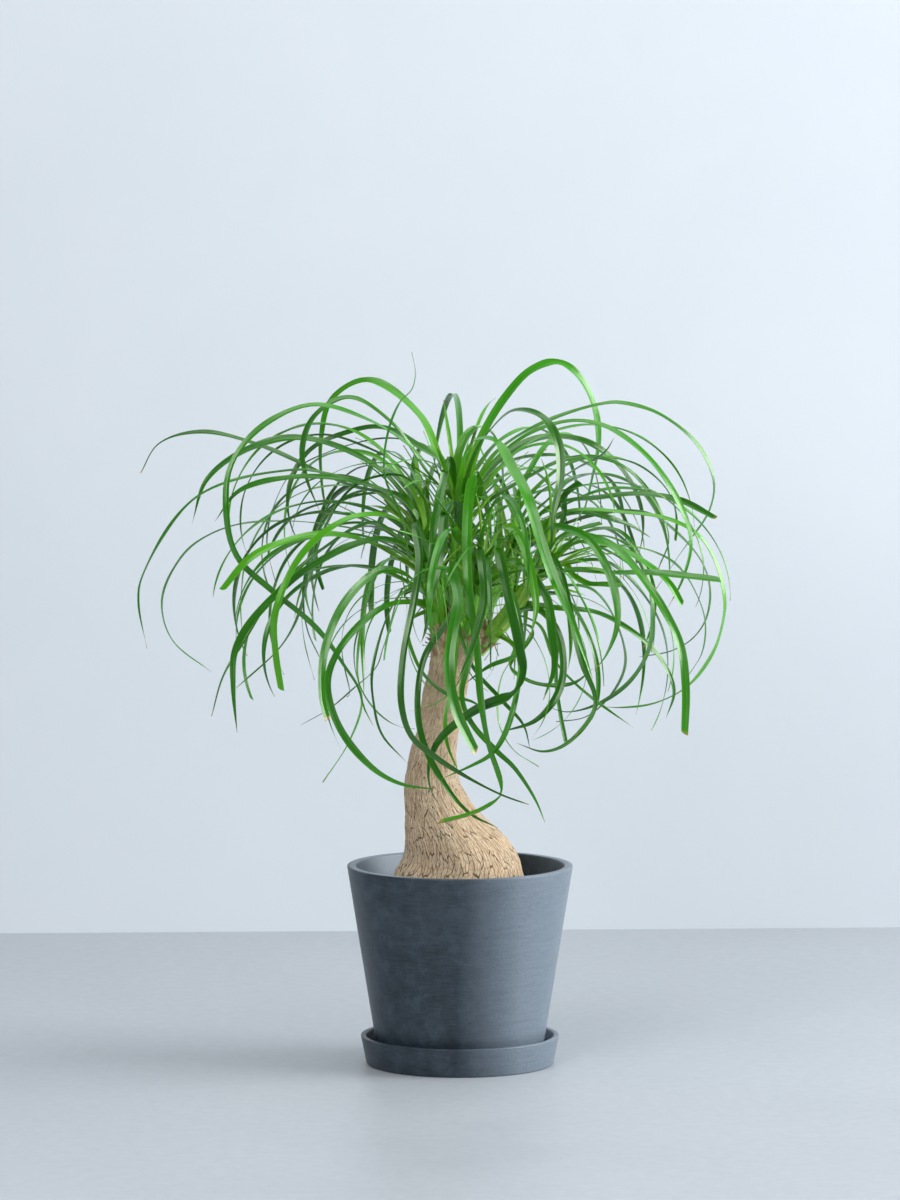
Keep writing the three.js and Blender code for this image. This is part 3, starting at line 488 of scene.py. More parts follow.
bpy.ops.object.select_all(action="DESELECT")
bpy.ops.mesh.primitive_grid_add(x_subdivisions=bark_columns, y_subdivisions=bark_rows, size=1.0)
trunk = bpy.context.object
trunk.name = "barked_trunk"
bark_points = np.empty((bark_columns + 1) * (bark_rows + 1) * 3)
trunk.data.vertices.foreach_get("co", bark_points)
bark_points = bark_points.reshape(-1, 3)
bark_cracks = np.zeros(len(bark_points))
bark_grain = np.zeros_like(bark_points)
ring_heights = np.linspace(trunk_foot, trunk_top, bark_rows + 1)
ring_forms = np.array([(*along_trunk(z), z) for z in ring_heights])
ring_runs = np.concatenate(([0.0], np.cumsum(np.linalg.norm(np.diff(ring_forms, axis=0), axis=1))))
for index, (u, v, _) in enumerate(bark_points):
    row = round((v + 0.5) * bark_rows)
    column = round((u + 0.5) * bark_columns) % bark_columns
    middle, radius, z = ring_forms[row]
    angle = 2 * math.pi * column / bark_columns
    round_radius = bark_form(angle, z, radius)
    spot = Vector((middle + round_radius * math.cos(angle), round_radius * math.sin(angle), z))
    out, crack = bark_detail(spot, z)
    shown = (smoothstep(z, relief_from, relief_full)
             * (1.0 - knob_calm * smoothstep(z, knob_from, float(trunk_top))))
    full = round_radius + out * shown
    bark_points[index] = (middle + full * math.cos(angle), full * math.sin(angle), z)
    bark_grain[index] = (grain_girth * ((angle - math.pi / 2) % (2 * math.pi)), ring_runs[row], 0.0)
    bark_cracks[index] = crack * shown
trunk.data.vertices.foreach_set("co", (bark_points * MM).ravel())
add_values(trunk, "crack", bark_cracks)
grain_places = trunk.data.attributes.new("grain", "FLOAT_VECTOR", "POINT")
grain_places.data.foreach_set("vector", (bark_grain * MM).ravel())
edit_all()
bpy.ops.mesh.remove_doubles(threshold=touching)
for end_height, rise in ((trunk_foot, 0.0), (trunk_top, end_rise)):
    select_points(trunk, lambda x, y, z: abs(z - end_height * MM) < touching)
    bpy.ops.mesh.extrude_region_move(TRANSFORM_OT_translate={"value": (0.0, 0.0, rise)})
    bpy.ops.transform.resize(value=(end_share, end_share, 1.0))
    bpy.ops.mesh.extrude_region_move()
    bpy.ops.mesh.merge(type="CENTER")
end_edit()
smooth_piece(trunk, 60.0)


def attribute(tree, name, socket="Fac"):
    return add_node(tree, "ShaderNodeAttribute", attribute_name=name).outputs[socket]


bark, tree, shader = new_material("fissured_bark")
place = place_coordinates(tree)
height = add_node(tree, "ShaderNodeSeparateXYZ", {"Vector": place}).outputs["Z"]
cloudy = noise_value(tree, place, 26.0, 5.0, 0.6, 0.5)
grain = attribute(tree, "grain", "Vector")
streaky = add_node(tree, "ShaderNodeMapping", {"Vector": grain, "Scale": (420.0, 46.0, 1.0)})
streaks = noise_value(tree, streaky.outputs["Vector"], 1.0, 4.0, 0.65, 0.4)
specks = noise_value(tree, place, 520.0, 3.0, 0.7)
wavy = add_node(tree, "ShaderNodeTexNoise", {"Vector": grain, "Scale": 78.0, "Detail": 2.0}).outputs["Color"]


def long_cracks(size, stretch, width, wander):
    """Thin dark cracks between bark plates that are longer than they are wide."""
    moved = add_node(tree, "ShaderNodeVectorMath", {
        0: wavy, 1: (wander, wander, wander), 2: grain}, operation="MULTIPLY_ADD").outputs["Vector"]
    moved = add_node(tree, "ShaderNodeMapping", {
        "Vector": moved, "Scale": (1 / size, 1 / (size * stretch), 1.0)}).outputs["Vector"]
    edge = add_node(tree, "ShaderNodeTexVoronoi", {"Vector": moved, "Scale": 1.0},
                    voronoi_dimensions="2D", feature="DISTANCE_TO_EDGE").outputs["Distance"]
    return ramp(tree, edge, (0.0, 1.0), (width, 0.0))


foot_share = fade(tree, height, 0.400, 0.270, 0.40, 1.0)
gaps = ramp(tree, noise_value(tree, grain, 60.0, 3.0, 0.6), (0.36, 0.48), (0.52, 1.0))
wide_cracks = times(tree, times(tree, long_cracks(0.0034, 8.0, 0.066, 0.0048), gaps), foot_share)
hair_share = ramp(tree, cloudy, (0.30, 0.35), (0.60, 1.0))
hair_cracks = times(tree, long_cracks(0.0014, 6.0, 0.17, 0.0032), hair_share)
cork = ramp(tree, cloudy, (0.34, (0.610, 0.430, 0.265)), (0.50, (0.810, 0.610, 0.405)),
            (0.66, (0.920, 0.760, 0.560)))
golden, damp, papery = (0.740, 0.560, 0.365), (0.170, 0.088, 0.042), (0.330, 0.215, 0.130)
cork = layered(
    tree, cork,
    (streaks, ((0.49, 0.0), (0.64, 0.70)), (0.380, 0.250, 0.155)),
    (streaks, ((0.34, 0.60), (0.47, 0.0)), (0.920, 0.800, 0.640)),
    (specks, ((0.57, 0.0), (0.65, 0.70)), (0.150, 0.085, 0.050)),
    (fade(tree, height, 0.290, 0.215, 0.0, 0.50), None, golden),
    (fade(tree, height, 0.214, 0.186, 0.0, 0.85), None, damp),
    (fade(tree, height, 0.452, 0.480, 0.0, 0.60), None, papery),
    (hair_cracks, ((0.0, 0.0), (1.0, 0.72)), (0.290, 0.180, 0.110)),
    (attribute(tree, "crack"), ((0.45, 0.0), (1.0, 0.45)), (0.240, 0.140, 0.080)),
    (wide_cracks, ((0.10, 0.0), (0.60, 0.84)), (0.120, 0.062, 0.034)))
relief = bump(tree, streaks, 0.40, 0.0010)
relief = bump(tree, specks, 0.35, 0.0006, relief)
relief = bump(tree, hair_cracks, 0.5, -0.0008, relief)
relief = bump(tree, wide_cracks, 0.8, -0.0016, relief)
feed(tree, shader, Base_Color=cork, Roughness=0.88, Normal=relief, Specular_IOR_Level=0.25)
trunk.data.materials.append(bark)
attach(trunk, "root")
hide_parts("trunk")


# Potting soil: dark crumbly peat with bits of bark and pale grit. It fills the pot to 38 mm
# below the rim and closes round the trunk's foot.
soil_depth, soil_fit, soil_steps, soil_sides = 38.0, 0.3, 22, 150
lump_edge, lump_drop, crumb_seed = 9.0, 0.6, 83
soil_top = pot_top - soil_depth
hollow_rings = [(along_trunk(z)[1] + soil_fit, z)
                for z in (soil_top, 178.0, 172.0, 166.0, 160.0, 156.0, 152.0, float(trunk_foot))]
soil_out, soil_in = pot_inside(soil_top) - 4.0, hollow_rings[0][0]
soil_profile = [(30.0, inner_floor), (pot_inside(inner_floor) - 3.5, inner_floor),
                (pot_inside(inner_floor + 4.0) - soil_fit, inner_floor + 4.0),
                (pot_inside(soil_top - 4.0) - soil_fit, soil_top - 4.0)]
soil_profile += [(soil_out + (soil_in - soil_out) * step / soil_steps, soil_top)
                 for step in range(soil_steps + 1)]
soil_profile += hollow_rings[1:] + [(20.0, float(trunk_foot))]
soil = raise_rings("crumbly_soil", [(radius * MM, z * MM) for radius, z in soil_profile], soil_sides)
for vertex in soil.data.vertices:
    spot = vertex.co / MM
    if spot.z > soil_top - 0.5:
        edge = min(1.0, (pot_inside(soil_top) - math.hypot(spot.x, spot.y)) / lump_edge)
        lumps = 1.5 * noise.noise(spot / 7.0) + 1.1 * noise.noise(spot / 3.0) + 1.6 * noise.noise(spot / 22.0)
        vertex.co.z += (lumps * edge - lump_drop) * MM


def copy_piece(model, points, values):
    """A copy of a piece with its points laid elsewhere, and the numbers that its material reads."""
    piece = model.copy()
    piece.data = model.data.copy()
    piece.data.vertices.foreach_set("co", (points * MM).ravel())
    for name, value in values.items():
        add_values(piece, name, value)
    bpy.context.collection.objects.link(piece)
    return piece


def join_pieces(pieces, name):
    """Joins pieces into the first one."""
    bpy.ops.object.select_all(action="DESELECT")
    for piece in pieces:
        piece.select_set(True)
    bpy.context.view_layer.objects.active = pieces[0]
    bpy.ops.object.join()
    pieces[0].name = name
    return pieces[0]


crumb_count = 420
crumb_random = np.random.default_rng(crumb_seed)
bpy.ops.object.select_all(action="DESELECT")
bpy.ops.mesh.primitive_ico_sphere_add(subdivisions=2, radius=1.0)
crumb_model = bpy.context.object
crumb_points = np.array([vertex.co[:] for vertex in crumb_model.data.vertices])
crumbs = []
crumb_in, crumb_out = soil_in + 1.5, pot_inside(soil_top) - 5.0
for count in range(crumb_count):
    angle, share = crumb_random.uniform(0, 2 * math.pi), crumb_random.uniform(0, 1)
    radius = math.sqrt(crumb_in ** 2 + share * (crumb_out ** 2 - crumb_in ** 2))
    size = 0.9 + 2.3 * crumb_random.uniform(0, 1) ** 2.4
    squat = crumb_random.uniform(0.45, 1.0, 3)
    shift = Vector((crumb_random.uniform(0, 90), 0, 0))
    dents = np.array([1 + 0.35 * noise.noise(Vector(point) * 1.4 + shift) for point in crumb_points])
    middle = np.array((radius * math.cos(angle), radius * math.sin(angle), soil_top + size * 0.15))
    points = crumb_points * dents[:, None] * squat * size + middle
    crumbs.append(copy_piece(crumb_model, points, {"tone": crumb_random.uniform(0, 1)}))
bpy.data.objects.remove(crumb_model)
add_values(soil, "tone", 0.3)
join_pieces([soil, *crumbs], "crumbly_soil")
smooth_piece(soil, 50.0)

peat, tree, shader = new_material("potting_soil")
place = place_coordinates(tree)
clods = noise_value(tree, place, 240.0, 6.0, 0.7, 0.4)
earth = ramp(tree, attribute(tree, "tone"), (0.0, (0.022, 0.014, 0.009)), (0.55, (0.050, 0.031, 0.020)),
             (0.80, (0.115, 0.068, 0.040)), (0.93, (0.150, 0.105, 0.070)), (1.0, (0.40, 0.37, 0.32)))
earth = blend_colours(tree, ramp(tree, clods, (0.35, 0.75), (0.62, 0.0)), earth, (0.012, 0.008, 0.006))
feed(tree, shader, Base_Color=earth, Roughness=0.95, Normal=bump(tree, clods, 0.7, 0.0018),
     Specular_IOR_Level=0.2)
soil.data.materials.append(peat)
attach(soil, "root")
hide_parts("potting_soil")


# Leaves: six leafy heads on short stems. Each leaf is a long strap with a channel down its
# middle, folded round the stem at its base; it arches over and hangs, and some are trimmed.
viewpoint = np.array((-11.0, -6630.0, 1099.5))
samples, curve_steps, stub_steps = 72, 24, 200
stub_radii = [9.0, 10.5, 10.0, 6.0, 3.0]
stub_girth, last_root, root_out = 8.0, 0.96, 0.5


def leaf(up, width, turn, course, cut=False):
    """A leaf read from the front: its root's place on the stub, its width, its turn and course."""
    return dict(up=up, width=width, turn=turn, course=course, cut=cut)


heads = [
    dict(name="head_left", line=[[-20, -8, 466], [-30, -12, 520], [-38, -12, 592]], count=9, seed=11,
         sector=[60, 190], leaves=[
        leaf(0.90, 8, [10, 40], [[-66, 4, 625], [-123, 16, 642], [-219, 32, 685], [-285, 40, 700],
             [-331, 46, 687], [-351, 48, 655]]),
        leaf(0.85, 7, [0, 30], [[-88, -24, 636], [-145, -34, 654], [-188, -40, 658], [-290, -54, 628],
             [-350, -62, 540], [-354, -64, 512], [-345, -64, 461]]),
        leaf(0.70, 7, [0, 20], [[-88, 20, 585], [-152, 40, 599], [-198, 52, 602], [-257, 66, 595],
             [-302, 78, 568], [-328, 84, 516], [-318, 88, 472], [-274, 92, 435]]),
        leaf(1.00, 11, [20, 60], [[-88, 6, 658], [-172, 12, 693], [-231, 16, 682], [-278, 20, 648],
             [-295, 22, 599]]),
        leaf(0.95, 9, [10, 60], [[-62, -30, 622], [-117, -52, 645], [-183, -74, 650], [-243, -92, 635],
             [-270, -100, 601]]),
        leaf(0.60, 9, [30, 60], [[-97, -50, 577], [-147, -78, 588], [-195, -98, 579], [-231, -110, 561],
             [-262, -118, 526]], True),
        leaf(0.50, 10, [20, 60], [[-70, -36, 572], [-112, -64, 577], [-168, -96, 549], [-201, -112, 522],
             [-229, -122, 492], [-241, -126, 474], [-249, -130, 454], [-250, -134, 415],
             [-246, -136, 368]]),
        leaf(0.60, 6, [20, 40], [[-90, -22, 600], [-150, -50, 572], [-205, -72, 520], [-243, -84, 462],
             [-262, -88, 428], [-274, -90, 386]]),
        leaf(0.80, 6, [0, 30], [[-90, 30, 632], [-150, 60, 640], [-200, 80, 618], [-232, 90, 570],
             [-241, 96, 520], [-240, 98, 474]]),
        leaf(0.90, 10, [20, 50], [[-62, -20, 650], [-100, -26, 648], [-128, -32, 628], [-148, -36, 595],
             [-160, -38, 560], [-170, -40, 525], [-181, -42, 490], [-200, -44, 460], [-247, -50, 417]]),
        leaf(0.80, 9, [20, 50], [[-70, 24, 632], [-118, 42, 632], [-148, 52, 610], [-163, 58, 570],
             [-172, 62, 520], [-168, 64, 482], [-155, 66, 452]]),
        leaf(0.75, 9, [20, 50], [[-72, -52, 604], [-118, -84, 606], [-160, -104, 580], [-190, -116, 541],
             [-205, -122, 500], [-203, -124, 455], [-197, -126, 415]], True),
        leaf(0.40, 10, [40, 70], [[-62, -62, 544], [-92, -104, 546], [-130, -142, 508], [-150, -156, 457],
             [-152, -164, 406], [-146, -166, 382]], True),
        leaf(0.30, 9, [20, 50], [[-56, -52, 512], [-84, -88, 507], [-112, -112, 486], [-136, -128, 455],
             [-146, -134, 425], [-141, -136, 393], [-124, -136, 359], [-92, -132, 325], [-62, -128, 310],
             [-26, -124, 305]]),
        leaf(0.75, 11, [30, 60], [[-50, -84, 600], [-44, -118, 562], [-50, -138, 514], [-62, -150, 452],
             [-64, -156, 399], [-53, -158, 364], [-28, -158, 342], [4, -156, 321], [46, -152, 299],
             [76, -150, 288]]),
        leaf(0.65, 6, [20, 40], [[-76, 40, 560], [-100, 84, 520], [-113, 96, 440], [-108, 100, 398],
             [-122, 102, 358], [-151, 104, 313]], True),
        leaf(0.45, 4, [20, 60], [[-60, 20, 530], [-84, 34, 464], [-92, 38, 441], [-118, 44, 416],
             [-143, 50, 395], [-176, 56, 376]]),
        leaf(0.55, 4, [20, 40], [[-66, -28, 520], [-96, -50, 440], [-95, -56, 400], [-86, -60, 366],
             [-58, -64, 334]]),
        leaf(0.35, 7, [20, 40], [[-56, -30, 490], [-48, -44, 448], [-30, -58, 422], [-8, -66, 408],
             [12, -70, 403], [26, -72, 395]]),
        leaf(0.95, 8, [60, 80], [[-60, -36, 560], [-78, -52, 622], [-84, -58, 658], [-78, -62, 705],
             [-66, -64, 733], [-53, -64, 747], [-49, -64, 765], [-53, -64, 788]]),
    ]),
    dict(name="head_centre", line=[[0, 2, 474], [-2, 4, 545], [2, 8, 640]], count=11, seed=23,
         sector=[20, 170], leaves=[
        leaf(1.00, 9, [20, 60], [[-33, -18, 662], [-57, -32, 686], [-100, -52, 713], [-160, -74, 730],
             [-207, -86, 713], [-241, -94, 682], [-257, -96, 646], [-257, -98, 599], [-243, -98, 560],
             [-207, -96, 526], [-166, -94, 492], [-146, -93, 470], [-128, -92, 443], [-112, -92, 418],
             [-106, -92, 396], [-96, -92, 376]]),
        leaf(0.95, 11, [10, 60], [[-21, 22, 668], [-44, 42, 718], [-100, 66, 757], [-140, 78, 736],
             [-152, 84, 693], [-152, 88, 646], [-147, 90, 611]]),
        leaf(0.90, 10, [10, 50], [[-33, -2, 652], [-76, -10, 711], [-123, -18, 738], [-160, -24, 717],
             [-173, -28, 682], [-168, -30, 648], [-154, -32, 612]]),
        leaf(0.95, 11, [30, 60], [[23, 28, 693], [52, 52, 741], [78, 64, 768], [107, 76, 777],
             [127, 82, 765], [146, 92, 732], [152, 98, 690], [146, 104, 654], [136, 106, 610]]),
        leaf(0.90, 12, [20, 60], [[14, -34, 668], [31, -62, 700], [60, -86, 724], [90, -104, 717],
             [107, -116, 690], [110, -128, 650], [103, -134, 612], [100, -138, 566]]),
        leaf(0.85, 13, [30, 60], [[10, -46, 672], [20, -66, 692], [40, -92, 691], [58, -112, 660],
             [73, -132, 632], [89, -150, 580], [102, -162, 542], [122, -174, 496], [138, -178, 452],
             [146, -180, 428]]),
        leaf(0.80, 13, [50, -35], [[12, -34, 660], [13, -48, 664], [9, -76, 612], [8, -100, 562],
             [11, -114, 515], [19, -124, 466], [23, -132, 409], [32, -136, 357], [46, -138, 313],
             [45, -140, 298], [34, -143, 288], [14, -146, 278], [-24, -150, 268]], True),
        leaf(0.80, 10, [0, 30], [[-8, -32, 668], [-13, -50, 672], [-20, -72, 638], [-28, -88, 602],
             [-32, -98, 566], [-40, -104, 530]]),
        leaf(0.70, 12, [0, 30], [[-2, -56, 618], [-8, -80, 624], [-17, -100, 607], [-20, -122, 575],
             [-31, -134, 536], [-44, -142, 506], [-50, -146, 470]]),
        leaf(0.90, 8, [20, 40], [[26, 18, 666], [56, 30, 691], [105, 42, 716], [157, 54, 731],
             [176, 58, 732], [220, 66, 719], [262, 74, 684], [279, 78, 644], [274, 82, 614],
             [252, 86, 580], [216, 90, 527]]),
        leaf(0.85, 9, [20, 50], [[34, -4, 664], [68, -8, 693], [105, -12, 709], [135, -16, 712],
             [167, -20, 703], [209, -26, 670], [241, -32, 622], [254, -36, 580], [245, -38, 538],
             [229, -40, 506]]),
        leaf(0.80, 11, [20, 60], [[36, 34, 662], [78, 58, 691], [114, 74, 695], [146, 88, 686],
             [178, 102, 658], [197, 110, 622], [201, 116, 591], [195, 120, 556]]),
        leaf(0.75, 7, [20, 60], [[40, 18, 630], [76, 30, 651], [110, 44, 668], [150, 56, 672],
             [185, 66, 658], [215, 76, 622], [232, 84, 580], [226, 88, 545]]),
        leaf(0.85, 5, [20, 60], [[36, -26, 656], [76, -40, 684], [118, -52, 684], [150, -62, 660],
             [168, -70, 625], [170, -74, 600]]),
        leaf(0.95, 11, [10, 40], [[4, 18, 676], [12, 32, 698], [24, 44, 706], [38, 56, 697],
             [46, 64, 665], [46, 70, 614]]),
        leaf(0.90, 4, [0, 20], [[-30, 24, 680], [-62, 40, 692], [-95, 52, 692], [-150, 70, 676],
             [-185, 80, 655], [-205, 86, 620], [-213, 90, 580], [-202, 94, 530]]),
    ]),
    dict(name="head_right", line=[[16, -6, 456], [50, -12, 496], [96, -18, 556]], count=6, seed=37,
         sector=[30, 84], leaves=[
        leaf(0.90, 9, [10, 50], [[128, -56, 548], [167, -66, 545], [209, -76, 545], [252, -84, 541],
             [287, -90, 537]], True),
        leaf(0.95, 10, [20, 60], [[118, -70, 586], [147, -94, 584], [174, -112, 570], [205, -128, 534],
             [228, -138, 498], [243, -144, 465], [249, -150, 417], [248, -154, 366]], True),
        leaf(0.85, 10, [30, 60], [[96, -70, 592], [116, -104, 594], [139, -126, 584], [159, -148, 556],
             [172, -162, 518], [173, -172, 485], [161, -178, 454], [147, -180, 436]]),
        leaf(0.80, 9, [30, 60], [[96, -78, 566], [110, -112, 548], [125, -136, 488], [136, -146, 443],
             [149, -152, 409], [147, -154, 387], [127, -156, 364]]),
        leaf(1.00, 8, [20, 50], [[140, -20, 590], [176, -24, 590], [203, -26, 550], [212, -28, 500],
             [207, -28, 458], [186, -30, 424], [152, -32, 400], [118, -34, 391], [98, -36, 396]]),
        leaf(0.60, 7, [20, 50], [[104, -24, 506], [150, -4, 501], [190, 8, 480], [215, 16, 458],
             [230, 20, 435], [236, 22, 412], [227, 24, 383]]),
        leaf(0.95, 9, [20, 50], [[130, -40, 578], [166, -48, 575], [198, -54, 560], [228, -58, 536],
             [245, -60, 509]], True),
        leaf(0.80, 9, [30, 50], [[110, -38, 574], [132, -42, 584], [157, -46, 597]], True),
        leaf(0.45, 9, [20, 50], [[84, -66, 505], [106, -88, 483], [114, -100, 441], [107, -108, 409],
             [83, -112, 381], [47, -114, 369]]),
        leaf(0.40, 6, [20, 50], [[80, -44, 482], [62, -62, 454], [32, -74, 441], [4, -80, 421]]),
        leaf(0.75, 8, [20, 60], [[104, -30, 560], [120, -46, 542], [138, -56, 533], [160, -64, 532],
             [178, -70, 531]], True),
        leaf(0.50, 4, [20, 40], [[88, -40, 486], [104, -60, 448], [125, -72, 424], [150, -82, 403],
             [192, -92, 373]]),
        leaf(0.70, 6, [20, 50], [[110, -36, 520], [140, -62, 480], [152, -74, 430], [146, -80, 390],
             [118, -84, 356], [92, -86, 347], [63, -88, 356]]),
        leaf(0.55, 6, [20, 40], [[94, -20, 500], [104, -6, 460], [106, 0, 420], [111, 2, 385],
             [117, 4, 356]], True),
        leaf(0.25, 6, [20, 40], [[60, -40, 462], [56, -60, 440], [76, -72, 425], [100, -80, 420],
             [126, -86, 423], [148, -90, 440]]),
        leaf(0.30, 4, [20, 40], [[62, -24, 462], [46, -36, 430], [41, -42, 400], [45, -46, 372],
             [60, -50, 348], [87, -54, 330]]),
        leaf(0.65, 8, [20, 50], [[110, 0, 530], [146, 20, 526], [172, 32, 490], [182, 38, 446],
             [168, 42, 412], [140, 44, 386], [106, 46, 380]]),
    ]),
    dict(name="head_right_back", line=[[14, 14, 474], [34, 26, 520], [64, 40, 580]], count=9, seed=41,
         sector=[0, 110], leaves=[
        leaf(0.80, 9, [20, 50], [[100, 24, 618], [153, 14, 628], [199, 8, 632], [241, 2, 625],
             [281, -4, 605]], True),
        leaf(0.85, 9, [20, 40], [[110, 50, 610], [183, 56, 611], [231, 60, 603], [262, 62, 586],
             [279, 64, 561], [291, 66, 515], [288, 66, 485], [277, 66, 454], [250, 66, 419],
             [215, 66, 401], [180, 66, 396], [150, 66, 397]]),
        leaf(0.75, 8, [20, 40], [[120, 82, 600], [201, 108, 613], [241, 118, 587], [268, 124, 553],
             [275, 126, 524], [270, 128, 492], [256, 130, 472], [234, 132, 459], [198, 134, 452]]),
        leaf(0.70, 6, [20, 40], [[100, 70, 560], [150, 84, 573], [200, 94, 572], [238, 100, 554],
             [261, 104, 520], [270, 106, 490], [266, 108, 455], [248, 110, 426]]),
        leaf(0.95, 10, [20, 40], [[84, 10, 628], [104, 0, 644], [130, -8, 661], [152, -14, 672],
             [163, -18, 682], [171, -22, 696]]),
        leaf(0.90, 9, [20, 50], [[84, 28, 602], [110, 20, 625], [132, 14, 642]], True),
        leaf(0.85, 10, [20, 50], [[86, 56, 590], [110, 72, 605], [137, 86, 614], [163, 96, 610],
             [185, 104, 600], [208, 110, 585]]),
    ]),
    dict(name="head_front", line=[[8, -18, 468], [14, -36, 510], [24, -60, 558]], count=5, seed=53,
         sector=[235, 310], leaves=[
        leaf(0.50, 8, [20, 40], [[8, -66, 530], [-15, -86, 489], [-39, -98, 452], [-47, -106, 399],
             [-40, -110, 356], [-16, -112, 309], [11, -114, 278], [42, -116, 262]]),
        leaf(0.70, 13, [10, 40], [[10, -86, 560], [4, -116, 545], [0, -140, 516], [-8, -156, 480],
             [-12, -164, 450], [-10, -168, 418], [-2, -172, 386], [8, -174, 365], [18, -176, 346]], True),
        leaf(0.85, 11, [10, 40], [[18, -98, 572], [24, -128, 556], [27, -150, 515], [19, -164, 480],
             [9, -170, 450], [-2, -172, 424]]),
        leaf(0.95, 12, [10, 40], [[34, -90, 574], [44, -112, 556], [54, -128, 515], [66, -136, 462],
             [70, -138, 434], [60, -140, 413], [25, -116, 397], [4, -110, 384], [-24, -106, 358],
             [-35, -104, 330], [-32, -102, 303], [-22, -100, 287]]),
        leaf(0.45, 5, [20, 40], [[-2, -64, 500], [13, -80, 443], [46, -86, 404], [70, -90, 376],
             [77, -92, 350]]),
        leaf(0.60, 7, [20, 40], [[26, -80, 530], [14, -92, 460], [2, -96, 410], [12, -98, 380],
             [40, -100, 348], [60, -102, 329], [83, -104, 294], [94, -106, 268]]),
        leaf(0.90, 12, [20, 50], [[46, -86, 590], [60, -112, 592], [72, -134, 570], [80, -148, 540],
             [84, -158, 505], [78, -164, 474]]),
        leaf(0.80, 11, [20, 50], [[40, -98, 560], [60, -130, 556], [84, -154, 520], [100, -166, 478],
             [104, -170, 440], [92, -174, 404]]),
        leaf(0.40, 5, [20, 40], [[0, -56, 480], [-8, -70, 420], [-16, -76, 384], [-14, -78, 355],
             [0, -80, 321]]),
        leaf(0.65, 7, [20, 40], [[52, -92, 530], [68, -116, 470], [60, -122, 400], [46, -122, 360],
             [33, -121, 343], [10, -120, 330], [-20, -119, 317]]),
    ]),
    dict(name="head_back", line=[[-12, 18, 472], [-22, 38, 520], [-34, 62, 584]], count=24, seed=67,
         sector=[20, 200], leaves=[
    ]),
]


def seen(point):
    """The point seen at (x, z) in the plane of the trunk, moved along the line of sight to y."""
    x, y, z = point
    eye_x, eye_y, eye_z = viewpoint
    spread = (y - eye_y) / -eye_y
    return np.array((eye_x + (x - eye_x) * spread, y, eye_z + (z - eye_z) * spread))


def smooth_curve(points, places):
    """Points at places from 0 to 1 of a smooth curve through the given ones."""
    points = np.asarray(points, float)
    last = len(points) - 1
    ends = np.vstack((2 * points[0] - points[1], points, 2 * points[-1] - points[-2]))
    parts = np.minimum((np.asarray(places) * last).astype(int), last - 1)
    t = (np.asarray(places) * last - parts)[:, None]
    p0, p1, p2, p3 = (ends[parts + shift] for shift in range(4))
    d0, d1, d2 = (np.sum((b - a) ** 2, axis=1, keepdims=True) ** 0.25
                  for a, b in ((p0, p1), (p1, p2), (p2, p3)))
    leave = ((p1 - p0) / d0 - (p2 - p0) / (d0 + d1) + (p2 - p1) / d1) * d1
    arrive = ((p2 - p1) / d1 - (p3 - p1) / (d1 + d2) + (p3 - p2) / d2) * d1
    return (p1 + leave * t + (-3 * p1 + 3 * p2 - 2 * leave - arrive) * t ** 2
            + (2 * p1 - 2 * p2 + leave + arrive) * t ** 3)


def lengths_along(points):
    return np.concatenate(([0.0], np.cumsum(np.linalg.norm(np.diff(points, axis=0), axis=1))))


def evenly(points):
    """Evenly spaced points of the smooth curve through the given ones."""
    steps = len(points) * curve_steps
    dense = smooth_curve(points, np.arange(steps + 1) / steps)
    lengths = lengths_along(dense)
    places = lengths[-1] * np.arange(samples + 1) / samples
    return np.stack([np.interp(places, lengths, dense[:, axis]) for axis in range(3)], axis=1)


def on_stub(head, places):
    """Points of a head's stub at even places along it."""
    steps = np.arange(stub_steps + 1) / stub_steps
    lengths = lengths_along(smooth_curve(head["line"], steps))
    return smooth_curve(head["line"], np.interp(np.asarray(places) * lengths[-1], lengths, steps))


def stub_radius(up):
    return np.interp(up * 4, range(5), stub_radii)


def tangents_of(route):
    ends = np.vstack((route[:1], route, route[-1:]))
    along = ends[2:] - ends[:-2]
    return along / np.linalg.norm(along, axis=1, keepdims=True)


leaf_reach, stub_reach, root_free, clearance = 18.0, 9.0, 32.0, 2.0
bend_times, bend_spread, leaf_tries = 12, 34.0, 14
placed = dict(points=np.empty((0, 3)), tangents=np.empty((0, 3)), girth=np.empty(0),
              solid=np.empty(0, bool), owner=np.empty(0, int), run=np.empty(0))


def keep_clear_of(route, owner, girth, solid=False):
    """Adds a leaf, stub or length of trunk to what later leaves keep clear of."""
    step = np.linalg.norm(route[1] - route[0])
    for name, values in (("points", route), ("tangents", tangents_of(route)),
                         ("girth", np.full(len(route), float(girth))), ("solid", np.full(len(route), solid)),
                         ("owner", np.full(len(route), owner)), ("run", np.arange(len(route)) * step)):
        placed[name] = np.concatenate((placed[name], values))


